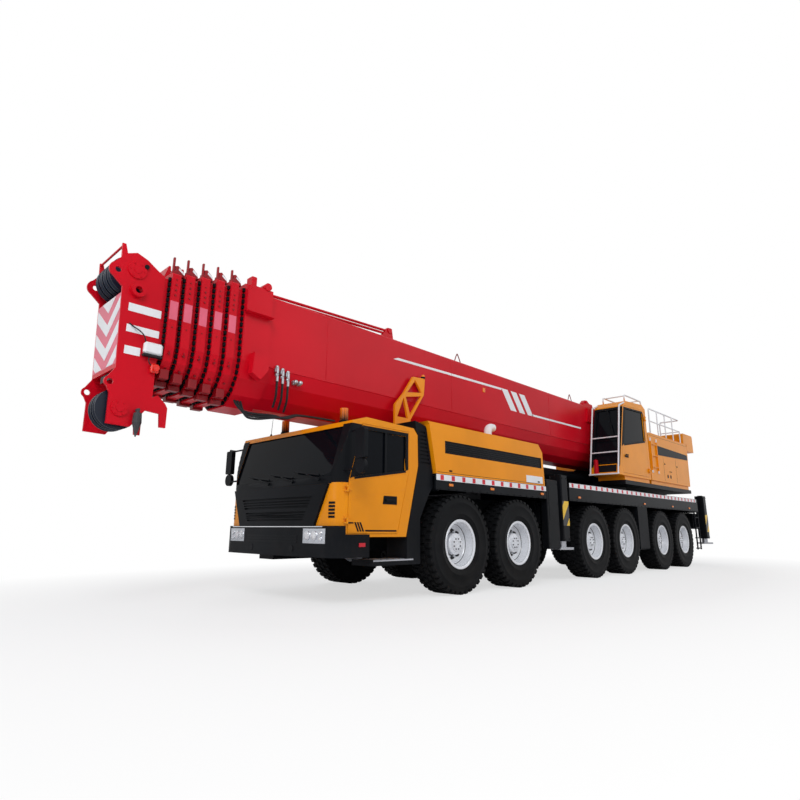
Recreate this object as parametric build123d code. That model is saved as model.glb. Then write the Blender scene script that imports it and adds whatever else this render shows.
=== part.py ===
from build123d import *
import os
from math import cos, radians, sin

# A six-axle mobile crane, in millimetres. While it is drawn, x = 0 is the first axle, +X points
# forward, +Y is the crane's left side and z = 0 is the ground. The finished pieces are moved along
# X so that the origin lies on the ground under the middle of the whole machine.

# Overall reach
FRONT_X = 5150.0
REAR_X = -12700.0
CARRIER_HALF = 1430.0

# Wheels and axles
AXLES = (
    # x, steered
    (0.0, True),
    (-1650.0, True),
    (-4610.0, False),
    (-6260.0, False),
    (-8560.0, True),
    (-10210.0, True),
)
TYRE_RADIUS = 747.5
TYRE_HALF_WIDTH = 222.0
TYRE_SHOULDER_RADIUS = 712.0
TYRE_BULGE_RADIUS = 560.0
WHEEL_Y = 1250.0
RIM_SEAT_RADIUS = 322.0
RIM_FLANGE_RADIUS = 372.0
RIM_HALF_WIDTH = 205.0
RIM_THICK = 18.0
DISC_OUT = 8.0
HUB_RADIUS = 165.0
HUB_STAND = 125.0
SPINDLE_RADIUS = 60.0
RUNNING_GAP = 0.05
SEAT_GAP = 0.3
KINGPIN_Y = 1085.0
KINGPIN_RADIUS = 40.0
BOSS_RADIUS = 70.0
BOSS_HALF = 100.0
FORK_GAP = 6.0
FORK_THICK = 42.0
BEAM_HALF = 80.0
STRUT_Y = 330.0
STRUT_RADIUS = 62.0
DIFFERENTIAL_RADIUS = 190.0

# Carrier frame
FRAME_HALF = 450.0
FRAME_BOTTOM = 960.0
FRAME_TOP = 1540.0
FRAME_FRONT = 560.0
NOSE_FRONT = 2230.0
NOSE_BOTTOM = 640.0
NOSE_TOP = 850.0
SLEW_X = -7400.0
DRUM_RADIUS = 880.0
DRUM_TOP = 1850.0
RING_RADIUS = 1010.0
RING_TOP = 1990.0

# Outriggers: each box holds two beams side by side, and each beam carries one jack
OUTRIGGER_BOXES = (
    # name, x of the box's rear face
    ("front", -3640.0),
    ("rear", REAR_X),
)
BOX_HALF = 1150.0
BOX_BOTTOM = 1050.0
CHANNEL_BOTTOM = 1080.0
CHANNEL_HEIGHT = 420.0
CHANNEL_WIDTH = 405.0
BOX_WALL = 25.0
BOX_MIDDLE_WALL = 50.0
BEAM_GAP = 10.0
BEAM_WALL = 20.0
BEAM_TAIL_OUT = 90.0
PAD_GAP = 0.5
PAD_LENGTH = 160.0
JACK_HOUSING_HALF = 128.0
JACK_STAND_OFF = 44.0
JACK_Y = BOX_HALF + JACK_STAND_OFF + JACK_HOUSING_HALF
JACK_BOTTOM = 760.0
JACK_TOP = 2060.0
JACK_CAP = 40.0
JACK_HEADROOM = 30.0
JACK_BORE_RADIUS = 85.0
JACK_ROD_TOP = JACK_TOP - JACK_CAP - JACK_HEADROOM
FOOT_RADIUS = 225.0
FOOT_BOTTOM = 600.0
FOOT_THICK = 45.0

# Carrier deck and its skirts
DECK_TOP = 1930.0
FRONT_DECK_TOP = 1800.0
DECK_PLATE = 30.0
SKIRT_BOTTOM = 1560.0
DECK_FRONT = 560.0
DECK_RIBS = (500.0, -200.0, -2100.0, -3200.0, -4610.0, -5700.0, -9300.0, -11000.0, -12200.0)
RIB_THICK = 20.0
JACK_CLEARANCE = 30.0
BRIDGE_END = 10.0
RING_CLEARANCE = 60.0
ENGINE_HATCH_GAP = 50.0

# Engine hood behind the cab
HOOD_TOP = 2590.0
HOOD_SIDE = ((540.0, FRONT_DECK_TOP), (700.0, 2550.0), (745.0, HOOD_TOP), (-2500.0, HOOD_TOP),
             (-2640.0, 2440.0), (-2680.0, FRONT_DECK_TOP))
HOOD_WALL = 40.0
TROUGH_HALF = 720.0
TROUGH_FLOOR = 2400.0
LOUVRE_BAND = (-2580.0, 330.0, 2130.0, 2330.0)
LOUVRE_DEPTH = 14.0
ENGINE_BLOCK = (-1950.0, -350.0, 430.0, FRAME_TOP, 2250.0)
LOUVRE_SLATS = 5
LOUVRE_SLAT_HALF = 8.0
EXHAUST_X = -1645.0
EXHAUST_Y = 860.0
EXHAUST_RADIUS = 75.0
EXHAUST_WALL = 6.0
EXHAUST_RISE = 300.0
EXHAUST_BEND = 110.0
EXHAUST_TAIL = 175.0

# Carrier cab
CAB_HALF = 1370.0
CAB_WALL = 60.0
CAB_SIDE = ((2600.0, 860.0), (2600.0, 1300.0), (2445.0, 1570.0), (2205.0, 2400.0), (1950.0, 2475.0),
            (990.0, 2445.0), (905.0, 2350.0), (895.0, 1880.0), (1150.0, 860.0))
CAB_CORNER_X = 2390.0
CAB_NOSE_X = 2450.0
CAB_CORNER_RADIUS = 230.0
CAB_REAR_X = 600.0
WINDSCREEN = (1200.0, 1640.0, 2330.0)
REAR_WINDOW = (900.0, 1960.0, 2300.0)
DOOR_OUTLINE = ((2235.0, 905.0), (1330.0, 905.0), (1095.0, 1800.0), (1095.0, 2370.0), (2020.0, 2370.0),
                (2235.0, 1600.0))
DOOR_WINDOW = ((2150.0, 1640.0), (1165.0, 1800.0), (1165.0, 2300.0), (1985.0, 2300.0))
DOOR_GAP = 6.0
DOOR_SWING_GAPS = (60.0, 12.0)
CAB_HINGE = (2262.0, 1385.0, 8.0)
CAB_HINGE_Z = (1070.0, 1480.0)
CAB_HINGE_RADIUS = 14.0
CAB_HINGE_HALF = 20.0
PANE = 6.0
PANE_DEPTH = 22.0

# Mudguard column behind the cab, with the louvred air intake on top of it
COLUMN_REAR = DECK_FRONT + SEAT_GAP
COLUMN_SIDE = ((COLUMN_REAR, 1600.0), (640.0, 1500.0), (850.0, 1120.0), (850.0, 480.0), (1800.0, 480.0),
               (1800.0, 560.0), (1130.0, 560.0), (1130.0, 855.0), (1140.0, 855.0), (887.0, 1872.0),
               (887.0, 2356.0), (940.0, 2425.0), (955.0, 2570.0), (720.0, 2515.0), (700.0, 2470.0),
               (COLUMN_REAR, 1805.0))
COLUMN_INNER = 960.0
INTAKE_SLOTS = 9
INTAKE_LOW = 1930.0
INTAKE_PITCH = 58.0
INTAKE_SLOT = (30.0, 16.0)
INTAKE_EDGE = 40.0

# Locker and rear ladder under the deck
LOCKER = (-7700.0, -7110.0, 1060.0, 520.0)
REAR_LADDER = (-11765.0, -11425.0, 450.0)
REAR_STEP_DEPTH = 60.0
LADDER_STILE = (30.0, 35.0)
LADDER_STEPS = 4
LADDER_PITCH = 300.0

# Front bumper, grille and lamps
BUMPER_REAR = 1900.0
BUMPER_OUT = 50.0
BUMPER_WALL = 20.0
BUMPER_Z = (600.0, 1000.0)
GRILLE_OUT = 40.0
GRILLE_TOP = 1540.0
GRILLE_HALF = (930.0, 1180.0)
GRILLE_DEPTH = 26.0
GRILLE_SLOTS = (
    # low z, high z, half-width at the bottom, half-width at the top
    (1070.0, 1190.0, 700.0, 760.0),
    (1240.0, 1385.0, 790.0, 880.0),
)
GRILLE_BARS = 3
GRILLE_BAR_HALF = 9.0
LAMP_DEPTH = 40.0
LAMP_Y = (740.0, 1180.0)
LAMP_Z = (775.0, 965.0)

# Mirrors
MIRROR_Y = 1660.0
MIRROR_ARM_RADIUS = 14.0
MIRROR_ARMS = (
    # x, z, the upper arm first
    (2205.0, 2250.0),
    (2300.0, 1720.0),
)
TALL_MIRROR_Z = (1850.0, 2235.0)
ROUND_MIRROR_Z = 1750.0
BEACON = (1840.0, 750.0, 62.0, 2705.0)

# Superstructure
PLATFORM_GAP = 0.5
PLATFORM_RADIUS = 990.0
PLATFORM_DISC = 90.0
PLATFORM_FLOOR = 50.0
WING_RISE = 60.0
PLATE_INNER = 610.0
PLATE_THICK = 50.0
TAIL_X = -11500.0
BOOM_PIVOT = (-9350.0, 3050.0)
PIVOT_RADIUS = 90.0
LUFF_BASE = (-7700.0, 2330.0)
LUFF_EYE = (-3950.0, 2330.0)
LUFF_PIN_RADIUS = 60.0
LUFF_BARREL_RADIUS = 140.0
LUFF_ROD_RADIUS = 95.0
LUFF_BARREL_LENGTH = 3020.0
LUFF_EAR_INNER = 110.0
LUFF_EAR_THICK = 60.0

# Operator's cab
OPERATOR_SIDE = ((-6230.0, 2330.0), (-6740.0, 4080.0), (-6930.0, 4220.0), (-8020.0, 4290.0),
                 (-8210.0, 4190.0), (-8210.0, 2290.0), (-6400.0, 2290.0))
OPERATOR_Y = (690.0, 1430.0)
OPERATOR_WALL = 50.0
OPERATOR_PILLAR = 60.0
OPERATOR_FRONT_Z = (2560.0, 3990.0)
OPERATOR_REAR_Z = (3250.0, 4050.0)
OPERATOR_INNER_PANE = (-8000.0, -7050.0, 3150.0, 4000.0)
OPERATOR_DOOR = ((-8080.0, 2360.0), (-8080.0, 4130.0), (-6840.0, 4085.0), (-6410.0, 2600.0),
                 (-6460.0, 2360.0))
OPERATOR_HINGE = (-8092.0, 1452.0, 12.0)
OPERATOR_HINGE_Z = (2520.0, 3920.0)
HINGE_BARREL_RADIUS = 20.0
HINGE_BARREL_HALF = 20.0
HINGE_LEAF = 60.0
OPERATOR_WINDOW = ((-8000.0, 3300.0), (-8000.0, 4060.0), (-6885.0, 4010.0), (-6605.0, 3070.0))
OPERATOR_SEAT = (-7820.0, -7320.0, 420.0, 1080.0)

# White tube frame and platform in front of the operator's cab, and the rail on its roof
TUBE_RADIUS = 19.0
TUBE_BEND = 57.0
GUARD_SIDE = ((-6180.0, 2310.0), (-6560.0, 4060.0), (-6900.0, 4180.0))
GUARD_BAR_Z = (2860.0, 3240.0)
GUARD_PLATE = (-6420.0, -6140.0, 2296.0, 2330.0)
ROOF_RAIL = (-8080.0, -7000.0, 820.0, 1380.0)
ROOF_RAIL_Z = (4150.0, 4400.0)

# Housings with their rail and ladder, winch and counterweight
HOUSING_TOP = 3600.0
HOUSING_SIDE = ((-8350.0, 2300.0), (-8350.0, 3530.0), (-8440.0, HOUSING_TOP), (-11390.0, HOUSING_TOP),
                (-11480.0, 3520.0), (-11410.0, 2300.0))
HOUSING_Y = (760.0, 1400.0)
RAIL_HEIGHT = 700.0
RAIL_MIDDLE_HEIGHT = 350.0
RAIL_POSTS = (-8620.0, -9220.0, -9820.0, -10420.0, -11020.0)
RAIL_Y = (820.0, 1375.0)
SIDE_LADDER = (-8860.0, -8400.0, 2500.0, 3450.0)
SIDE_LADDER_RUNGS = 3
WINCH = (-10870.0, 2800.0)
WINCH_DRUM_RADIUS = 220.0
WINCH_FLANGE_RADIUS = 290.0
COUNTERWEIGHT = (-11950.0, 1180.0, 2250.0, 3400.0)
COUNTERWEIGHT_CORNER = 220.0
TAIL_BOX_TOP = 3930.0
TAIL_BOX_SEAT = HOUSING_TOP + SEAT_GAP
TAIL_BOX_LOW = COUNTERWEIGHT[3] + SEAT_GAP
TAIL_BOX_SIDE = ((-11220.0, TAIL_BOX_SEAT), (-11220.0, TAIL_BOX_TOP - 40), (-11260.0, TAIL_BOX_TOP),
                 (-12040.0, TAIL_BOX_TOP), (-12080.0, TAIL_BOX_TOP - 40), (-12080.0, TAIL_BOX_LOW),
                 (-11490.0, TAIL_BOX_LOW), (-11490.0, TAIL_BOX_SEAT))

# Boom
BOOM_HALF_WIDTH = 550.0
BOOM_TOP = 4170.0
BOOM_BEND_Z = 3120.0
BOOM_BELLY_DEPTH = 574.0
BELLY_ANGLES = (0.0, 22.5, 45.0, 67.5)
BOOM_CORNER_RADIUS = 45.0
SECTION_STEP = 26.0
SECTION_WALL = 12.0
BASE_REAR_X = -9800.0
SECTION_REAR_X = -9000.0
BASE_FOOT_GAP = 60.0
HEAD_LENGTH = 650.0
HEAD_REAR_X = FRONT_X - HEAD_LENGTH
BASE_COLLAR = (HEAD_REAR_X - 1430.0, HEAD_REAR_X - 1010.0)
COLLAR_OUT = 45.0
COLLAR_LENGTH = 110.0
COLLARS = (
    # section, how far its front face lies behind the head, height of the fin on its top
    (1, 800.0, 150.0),
    (2, 610.0, 165.0),
    (3, 420.0, 180.0),
    (4, 230.0, 195.0),
    (5, 60.0, 210.0),
)
FIN_THICK = 24.0

# Boom head: x is measured forward from its rear plate
HEAD_SECTION = 6
HEAD_HALF = 400.0
CHEEK_THICK = 30.0
HEAD_PLATE_Z = (2700.0, 4000.0)
CHEEK_SIDE = ((0.0, 2480.0), (0.0, 4000.0), (100.0, 4060.0), (230.0, 4150.0), (360.0, 4200.0),
              (480.0, 4150.0), (600.0, 4006.0), (600.0, 3834.0), (485.0, 3730.0), (445.0, 2740.0),
              (517.0, 2626.0), (517.0, 2514.0), (480.0, 2440.0), (475.0, 2090.0), (220.0, 2080.0),
              (70.0, 2290.0))
FRONT_PLATE_SIDE = ((445.0, 2740.0), (482.0, 3660.0), (452.0, 3660.0), (415.0, 2740.0))
ROPE_ARM_SIDE = ((60.0, 2430.0), (-60.0, 2500.0), (-160.0, 2410.0), (-190.0, 2360.0), (-190.0, 2120.0),
                 (-115.0, 2120.0), (-100.0, 2280.0), (110.0, 2300.0))
UPPER_LUG = (HEAD_LENGTH - 100.0, 3920.0, 100.0)
LOWER_LUG = (485.0, 2570.0, 65.0)
LUG_HOLE_RADIUS = 35.0
UPPER_SHEAVE = (HEAD_REAR_X + 340.0, 3980.0, 240.0)
LOWER_SHEAVE = (HEAD_REAR_X + 350.0, 2280.0, 240.0)
SHEAVE_HALF = 45.0
SHEAVE_PIN_RADIUS = 45.0
UPPER_ROWS = (-260.0, -130.0, 0.0, 130.0)
LOWER_ROWS = (160.0, 290.0)
ROPE_GUARD = (520.0, 4245.0, 14.0)
SIDE_BOSS = (310.0, 3720.0, 85.0, 55.0)

# Boom rest
REST_INNER = 600.0
REST_THICK = 40.0
REST_SIDE = ((655.0, TROUGH_FLOOR), (655.0, 2990.0), (430.0, 3240.0), (215.0, 3550.0), (-90.0, 3570.0),
             (-60.0, 3270.0), (280.0, 2780.0), (300.0, TROUGH_FLOOR))
REST_WINDOWS = (
    # three (x, z) corners of each opening
    ((345.0, 2790.0), (605.0, 2790.0), (450.0, 3140.0)),
    ((290.0, 2850.0), (400.0, 3160.0), (10.0, 3235.0)),
    ((0.0, 3300.0), (365.0, 3245.0), (160.0, 3500.0)),
)
REST_BEAM = (330.0, 640.0, 120.0)
REST_PAD_HALF = 180.0
REST_PAD_GAP = 5.0

X_MIDDLE = (FRONT_X + REAR_X) / 2


def block(x_low, x_high, y_low, y_high, z_low, z_high):
    """A box given by its six faces."""
    centre = Pos((x_low + x_high) / 2, (y_low + y_high) / 2, (z_low + z_high) / 2)
    return centre * Box(x_high - x_low, y_high - y_low, z_high - z_low)


def side_face(points, y=0.0):
    """A face from (x, z) points, standing in the plane at y."""
    plane = Plane(origin=(0, y, 0), x_dir=(1, 0, 0), z_dir=(0, -1, 0))
    return make_face(plane * Polyline(*points, close=True))


def side_plate(points, y_low, y_high):
    """A plate cut to (x, z) points, between two y planes."""
    return extrude(side_face(points, y_low), amount=y_high - y_low, dir=(0, 1, 0))


def rod_x(y, z, radius, x_low, x_high):
    return Pos((x_low + x_high) / 2, y, z) * Rot(0, 90, 0) * Cylinder(radius, x_high - x_low)


def rod_y(x, z, radius, y_low, y_high):
    return Pos(x, (y_low + y_high) / 2, z) * Rot(90, 0, 0) * Cylinder(radius, y_high - y_low)


def rod_z(x, y, radius, z_low, z_high):
    return Pos(x, y, (z_low + z_high) / 2) * Cylinder(radius, z_high - z_low)


def tube(radius, bend, *points):
    """Round bar along (x, y, z) points, with its corners bent."""
    path = FilletPolyline(*points, radius=bend)
    section = Plane(origin=path @ 0, z_dir=path % 0) * Circle(radius)
    return sweep(section, path=path)


def front_view(points, x_low, x_high):
    """A plate cut to (y, z) points, between two x planes."""
    plane = Plane(origin=(x_low, 0, 0), x_dir=(0, 1, 0), z_dir=(1, 0, 0))
    face = make_face(plane * Polyline(*points, close=True))
    return extrude(face, amount=x_high - x_low, dir=(1, 0, 0))


def mirrored(shape):
    """The same piece on the crane's right side."""
    return mirror(shape, about=Plane.XZ)


def both_sides(shape):
    return [shape, mirrored(shape)]


def turned(profile):
    """A ring or disc turned about the Y axis from (radius, y) points."""
    return revolve(make_face(Polyline(*profile, close=True)), axis=Axis.Y)


def fused(pieces):
    whole = pieces[0]
    for piece in pieces[1:]:
        whole = whole + piece
    return whole


def main_solid(shape):
    """The largest solid of a shape that a cut may have left with crumbs."""
    return shape.solids().sort_by(SortBy.VOLUME)[-1]


def wheel():
    """Rim with its disc and hub, and the tyre on it, about the Y axis with +Y outwards."""
    edge = RIM_HALF_WIDTH
    seat = RIM_SEAT_RADIUS
    inner = seat - RIM_THICK
    disc_in = DISC_OUT - RIM_THICK - 12
    hub_in = -45.0
    bore = SPINDLE_RADIUS + RUNNING_GAP
    rim = turned((
        (RIM_FLANGE_RADIUS, -edge), (RIM_FLANGE_RADIUS, -edge + RIM_THICK), (seat, -edge + RIM_THICK),
        (seat, edge - RIM_THICK), (RIM_FLANGE_RADIUS, edge - RIM_THICK), (RIM_FLANGE_RADIUS, edge),
        (inner, edge), (inner, DISC_OUT + 60), (HUB_RADIUS + 65, DISC_OUT), (HUB_RADIUS, DISC_OUT),
        (HUB_RADIUS, HUB_STAND - 30), (HUB_RADIUS - 40, HUB_STAND), (0, HUB_STAND),
        (0, 45), (bore, 45), (bore, hub_in), (bore + 60, hub_in), (bore + 60, disc_in),
        (HUB_RADIUS + 65, disc_in), (inner, disc_in + 60), (inner, -edge)))
    flat = edge - RIM_THICK - SEAT_GAP
    tyre = turned((
        (seat + SEAT_GAP, -flat), (RIM_FLANGE_RADIUS + 4, -flat), (TYRE_BULGE_RADIUS, -TYRE_HALF_WIDTH),
        (TYRE_SHOULDER_RADIUS, -TYRE_HALF_WIDTH + 12), (TYRE_RADIUS, -TYRE_HALF_WIDTH + 50),
        (TYRE_RADIUS, TYRE_HALF_WIDTH - 50), (TYRE_SHOULDER_RADIUS, TYRE_HALF_WIDTH - 12),
        (TYRE_BULGE_RADIUS, TYRE_HALF_WIDTH), (RIM_FLANGE_RADIUS + 4, flat), (seat + SEAT_GAP, flat)))
    return [tyre, rim]


def knuckle(x):
    """Fork round the axle's end boss, with the spindle that carries the wheel."""
    z = TYRE_RADIUS
    web = KINGPIN_Y + BOSS_RADIUS + FORK_GAP
    fork_low = BOSS_HALF + FORK_GAP
    fork_high = fork_low + FORK_THICK
    plate = block(x - BEAM_HALF, x + BEAM_HALF, KINGPIN_Y, web + 30, -fork_high, fork_high)
    plate = plate + rod_z(x, KINGPIN_Y, BEAM_HALF, -fork_high, fork_high)
    plate = plate - block(x - 200, x + 200, KINGPIN_Y - 200, web, -fork_low, fork_low)
    plate = plate - rod_z(x, KINGPIN_Y, KINGPIN_RADIUS + RUNNING_GAP, -fork_high - 1, fork_high + 1)
    spindle = rod_y(x, 0, SPINDLE_RADIUS, web + 20, WHEEL_Y + 30)
    return Pos(0, 0, z) * (plate + spindle)


def axle_beam(x, steered):
    """Axle tube with its differential, the suspension struts and the pins or spindles at its ends."""
    z = TYRE_RADIUS
    end = KINGPIN_Y if steered else KINGPIN_Y + BOSS_RADIUS
    pieces = [block(x - BEAM_HALF, x + BEAM_HALF, -end, end, z - BEAM_HALF, z + BEAM_HALF),
              Pos(x, 0, z) * Sphere(DIFFERENTIAL_RADIUS)]
    for side in (-1, 1):
        pieces.append(rod_z(x, side * STRUT_Y, STRUT_RADIUS, z, FRAME_BOTTOM))
        y = side * KINGPIN_Y
        if steered:
            pin = BOSS_HALF + FORK_GAP + FORK_THICK
            pieces.append(rod_z(x, y, BOSS_RADIUS, z - BOSS_HALF, z + BOSS_HALF))
            pieces.append(rod_z(x, y, KINGPIN_RADIUS, z - pin, z + pin))
        else:
            tip = sorted((side * end, side * (WHEEL_Y + 30)))
            pieces.append(rod_y(x, z, SPINDLE_RADIUS, *tip))
    return fused(pieces)


def channel_x(box_rear, number):
    """Low and high x of one of a box's two beam channels, 0 the rear one and 1 the front one."""
    low = box_rear + BOX_WALL + number * (CHANNEL_WIDTH + BOX_MIDDLE_WALL)
    return low, low + CHANNEL_WIDTH


def box_width():
    return 2 * BOX_WALL + BOX_MIDDLE_WALL + 2 * CHANNEL_WIDTH


def chassis_frame():
    """Box girder, lower nose under the cab, slewing drum and ring, and the two outrigger boxes."""
    girder = block(REAR_X + 60, FRAME_FRONT, -FRAME_HALF, FRAME_HALF, FRAME_BOTTOM, FRAME_TOP)
    nose = side_plate(((220, FRAME_BOTTOM), (FRAME_FRONT, FRAME_BOTTOM), (FRAME_FRONT, NOSE_TOP),
                       (NOSE_FRONT - 40, NOSE_TOP), (NOSE_FRONT - 40, NOSE_BOTTOM), (500, NOSE_BOTTOM)),
                      -FRAME_HALF, FRAME_HALF)
    drum = rod_z(SLEW_X, 0, DRUM_RADIUS, FRAME_TOP, DRUM_TOP)
    ring = rod_z(SLEW_X, 0, RING_RADIUS, DRUM_TOP - 60, RING_TOP)
    frame = girder + nose
    channel_top = CHANNEL_BOTTOM + CHANNEL_HEIGHT
    for _, rear in OUTRIGGER_BOXES:
        frame = frame + block(rear, rear + box_width(), -BOX_HALF, BOX_HALF, BOX_BOTTOM,
                              channel_top + BOX_WALL)
    for _, rear in OUTRIGGER_BOXES:
        for number in (0, 1):
            low, high = channel_x(rear, number)
            frame = frame - block(low, high, -BOX_HALF - 1, BOX_HALF + 1, CHANNEL_BOTTOM, channel_top)
            for side in (-1, 1):
                mouth = sorted((side * BOX_HALF, side * (BOX_HALF - PAD_LENGTH)))
                frame = frame + block(low + 60, high - 60, *mouth, CHANNEL_BOTTOM - 1,
                                      CHANNEL_BOTTOM + BEAM_GAP - PAD_GAP)
    return [frame, drum + ring]


def outrigger(box_rear, side):
    """Beam and jack of one corner, drawn for the left side; the right one lies in the front channel."""
    low, high = channel_x(box_rear, 0 if side > 0 else 1)
    x = (low + high) / 2
    beam_low = CHANNEL_BOTTOM + BEAM_GAP
    beam_high = CHANNEL_BOTTOM + CHANNEL_HEIGHT - BEAM_GAP
    half = JACK_HOUSING_HALF
    tail = -BOX_HALF - BEAM_TAIL_OUT
    neck = JACK_Y - half + 1
    inner = BEAM_GAP + BEAM_WALL
    beam = block(low + BEAM_GAP, high - BEAM_GAP, tail, neck, beam_low, beam_high)
    hollow = block(low + inner, high - inner, tail - 1, neck - 2 * BEAM_WALL,
                   beam_low + BEAM_WALL, beam_high - BEAM_WALL)
    housing = block(x - half, x + half, JACK_Y - half, JACK_Y + half, JACK_BOTTOM, JACK_TOP)
    housing = fillet(housing.edges().filter_by(Axis.Z), 25)
    beam = beam - hollow + housing
    beam = beam - rod_z(x, JACK_Y, JACK_BORE_RADIUS, JACK_BOTTOM - 1, JACK_TOP - JACK_CAP)
    jack = rod_z(x, JACK_Y, JACK_BORE_RADIUS - RUNNING_GAP, FOOT_BOTTOM, JACK_ROD_TOP)
    jack = jack + rod_z(x, JACK_Y, FOOT_RADIUS, FOOT_BOTTOM, FOOT_BOTTOM + FOOT_THICK)
    if side < 0:
        return mirrored(beam), mirrored(jack)
    return beam, jack


def deck_plate(x_low, x_high, half, top):
    """Deck plate on its side skirts, with the cross ribs that fall inside it and stand on the frame."""
    plate = block(x_low, x_high, -half, half, SKIRT_BOTTOM, top)
    inner = half - DECK_PLATE
    plate = plate - block(x_low - 1, x_high + 1, -inner, inner, SKIRT_BOTTOM - 1, top - DECK_PLATE)
    for x in DECK_RIBS:
        if x_low < x - RIB_THICK and x < x_high:
            plate = plate + block(x - RIB_THICK, x, -half + 10, half - 10, FRAME_TOP, top - DECK_PLATE + 5)
    return plate


def carrier_deck():
    """Front and middle deck plates, and a narrow bridge over each outrigger box between its jacks."""
    bridge_half = JACK_Y - JACK_HOUSING_HALF - JACK_CLEARANCE
    front_box, rear_box = [rear for _, rear in OUTRIGGER_BOXES]
    bridge = box_width() + BRIDGE_END
    low, high, engine_half = ENGINE_BLOCK[:3]
    hatch_half = engine_half + ENGINE_HATCH_GAP
    front = deck_plate(front_box + bridge + SEAT_GAP, DECK_FRONT, CARRIER_HALF, FRONT_DECK_TOP)
    front = front - block(low - ENGINE_HATCH_GAP, high + ENGINE_HATCH_GAP, -hatch_half, hatch_half,
                          FRONT_DECK_TOP - DECK_PLATE - 1, FRONT_DECK_TOP + 1)
    middle = deck_plate(rear_box + bridge + SEAT_GAP, front_box - SEAT_GAP, CARRIER_HALF, DECK_TOP)
    middle = middle - rod_z(SLEW_X, 0, RING_RADIUS + RING_CLEARANCE, FRAME_TOP - 1, DECK_TOP + 1)
    bridges = [deck_plate(rear, rear + bridge, bridge_half, DECK_TOP) for _, rear in OUTRIGGER_BOXES]
    return [front, middle, *bridges]


def hood_body(inset):
    """Outer form of the hood, or the space inside it when it is inset by the wall."""
    face = side_face(HOOD_SIDE, -CARRIER_HALF + inset)
    if inset:
        face = offset(face, -inset, kind=Kind.INTERSECTION)
    body = extrude(face, amount=2 * (CARRIER_HALF - inset), dir=(0, 1, 0))
    return body - block(-4000, 2000, -TROUGH_HALF - inset, TROUGH_HALF + inset, TROUGH_FLOOR - inset, 3000)


def engine_hood():
    """Hollow hood with a trough for the boom, a louvred band on each side and the exhaust."""
    inner = hood_body(HOOD_WALL)
    front, rear = HOOD_SIDE[0][0], HOOD_SIDE[-1][0]
    half = CARRIER_HALF - HOOD_WALL
    foot = block(rear + 2 * HOOD_WALL, front - 2 * HOOD_WALL, -half, half, FRONT_DECK_TOP - 1,
                 FRONT_DECK_TOP + HOOD_WALL + 1)
    hood = hood_body(0) - inner - foot
    x_low, x_high, z_low, z_high = LOUVRE_BAND
    for side in (-1, 1):
        depth = sorted((side * (CARRIER_HALF - LOUVRE_DEPTH), side * (CARRIER_HALF + 1)))
        hood = hood - block(x_low, x_high, *depth, z_low, z_high)
        depth = sorted((side * (CARRIER_HALF - LOUVRE_DEPTH - 1), side * (CARRIER_HALF - LOUVRE_DEPTH / 2)))
        for number in range(LOUVRE_SLATS):
            z = z_low + (z_high - z_low) * (number + 1) / (LOUVRE_SLATS + 1)
            hood = hood + block(x_low - 1, x_high + 1, *depth, z - LOUVRE_SLAT_HALF, z + LOUVRE_SLAT_HALF)
    return hood + exhaust()


def exhaust():
    """Exhaust pipe that rises from the hood's top and bends rearwards to its open end."""
    top = HOOD_TOP + EXHAUST_RISE
    end = EXHAUST_X - EXHAUST_TAIL
    pipe = tube(EXHAUST_RADIUS, EXHAUST_BEND, (EXHAUST_X, EXHAUST_Y, HOOD_TOP - 1),
                (EXHAUST_X, EXHAUST_Y, top), (end, EXHAUST_Y, top))
    return pipe - rod_x(EXHAUST_Y, top, EXHAUST_RADIUS - EXHAUST_WALL, end - 1, end + EXHAUST_RADIUS)


def cab_plan(inset):
    """Outline of the cab seen from above, with a bowed front and round corners."""
    corners = ((CAB_REAR_X, -CAB_HALF), (CAB_CORNER_X, -CAB_HALF), (CAB_CORNER_X, CAB_HALF),
               (CAB_REAR_X, CAB_HALF))
    front = ThreePointArc(corners[1], (CAB_NOSE_X, 0), corners[2])
    plan = make_face([Line(corners[2], corners[3]), Line(corners[3], corners[0]),
                      Line(corners[0], corners[1]), front])
    front_corners = [v for v in plan.vertices() if v.X > CAB_REAR_X + 1]
    plan = fillet(front_corners, CAB_CORNER_RADIUS)
    return offset(plan, -inset, kind=Kind.INTERSECTION) if inset else plan


def plan_solid(inset, z_low, z_high):
    return extrude(Pos(0, 0, z_low) * cab_plan(inset), amount=z_high - z_low, dir=(0, 0, 1))


def cab_body(inset):
    """Outer form of the carrier cab, or one inside it by the given distance."""
    side = side_face(CAB_SIDE, -CAB_HALF - 10)
    if inset:
        side = offset(side, -inset, kind=Kind.INTERSECTION)
    body = extrude(side, amount=2 * CAB_HALF + 20, dir=(0, 1, 0))
    return body & plan_solid(inset, 500, 3000)


def cab_shell():
    """Hollow cab with its windows and the two door openings cut, and the door hinges' pins."""
    shell = cab_body(0) - cab_body(CAB_WALL)
    half, low, high = WINDSCREEN
    shell = shell - block(1950, 2700, -half, half, low, high)
    half, low, high = REAR_WINDOW
    shell = shell - block(700, 1080, -half, half, low, high)
    opening = offset(side_face(DOOR_OUTLINE, CAB_HALF - CAB_WALL - 5), DOOR_GAP, kind=Kind.INTERSECTION)
    opening = extrude(opening, amount=CAB_WALL + 10, dir=(0, 1, 0))
    for cut in both_sides(opening):
        shell = shell - cut
    x, y, radius = CAB_HINGE
    inner = CAB_HINGE_HALF + 1
    outer = inner + CAB_HINGE_HALF
    for z in CAB_HINGE_Z:
        pin = rod_z(x, y, radius, z - outer, z + outer)
        pin = pin + cab_hinge(z - outer, z - inner, 1) + cab_hinge(z + inner, z + outer, 1)
        shell = fused([shell, *both_sides(pin)])
    return shell


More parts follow.
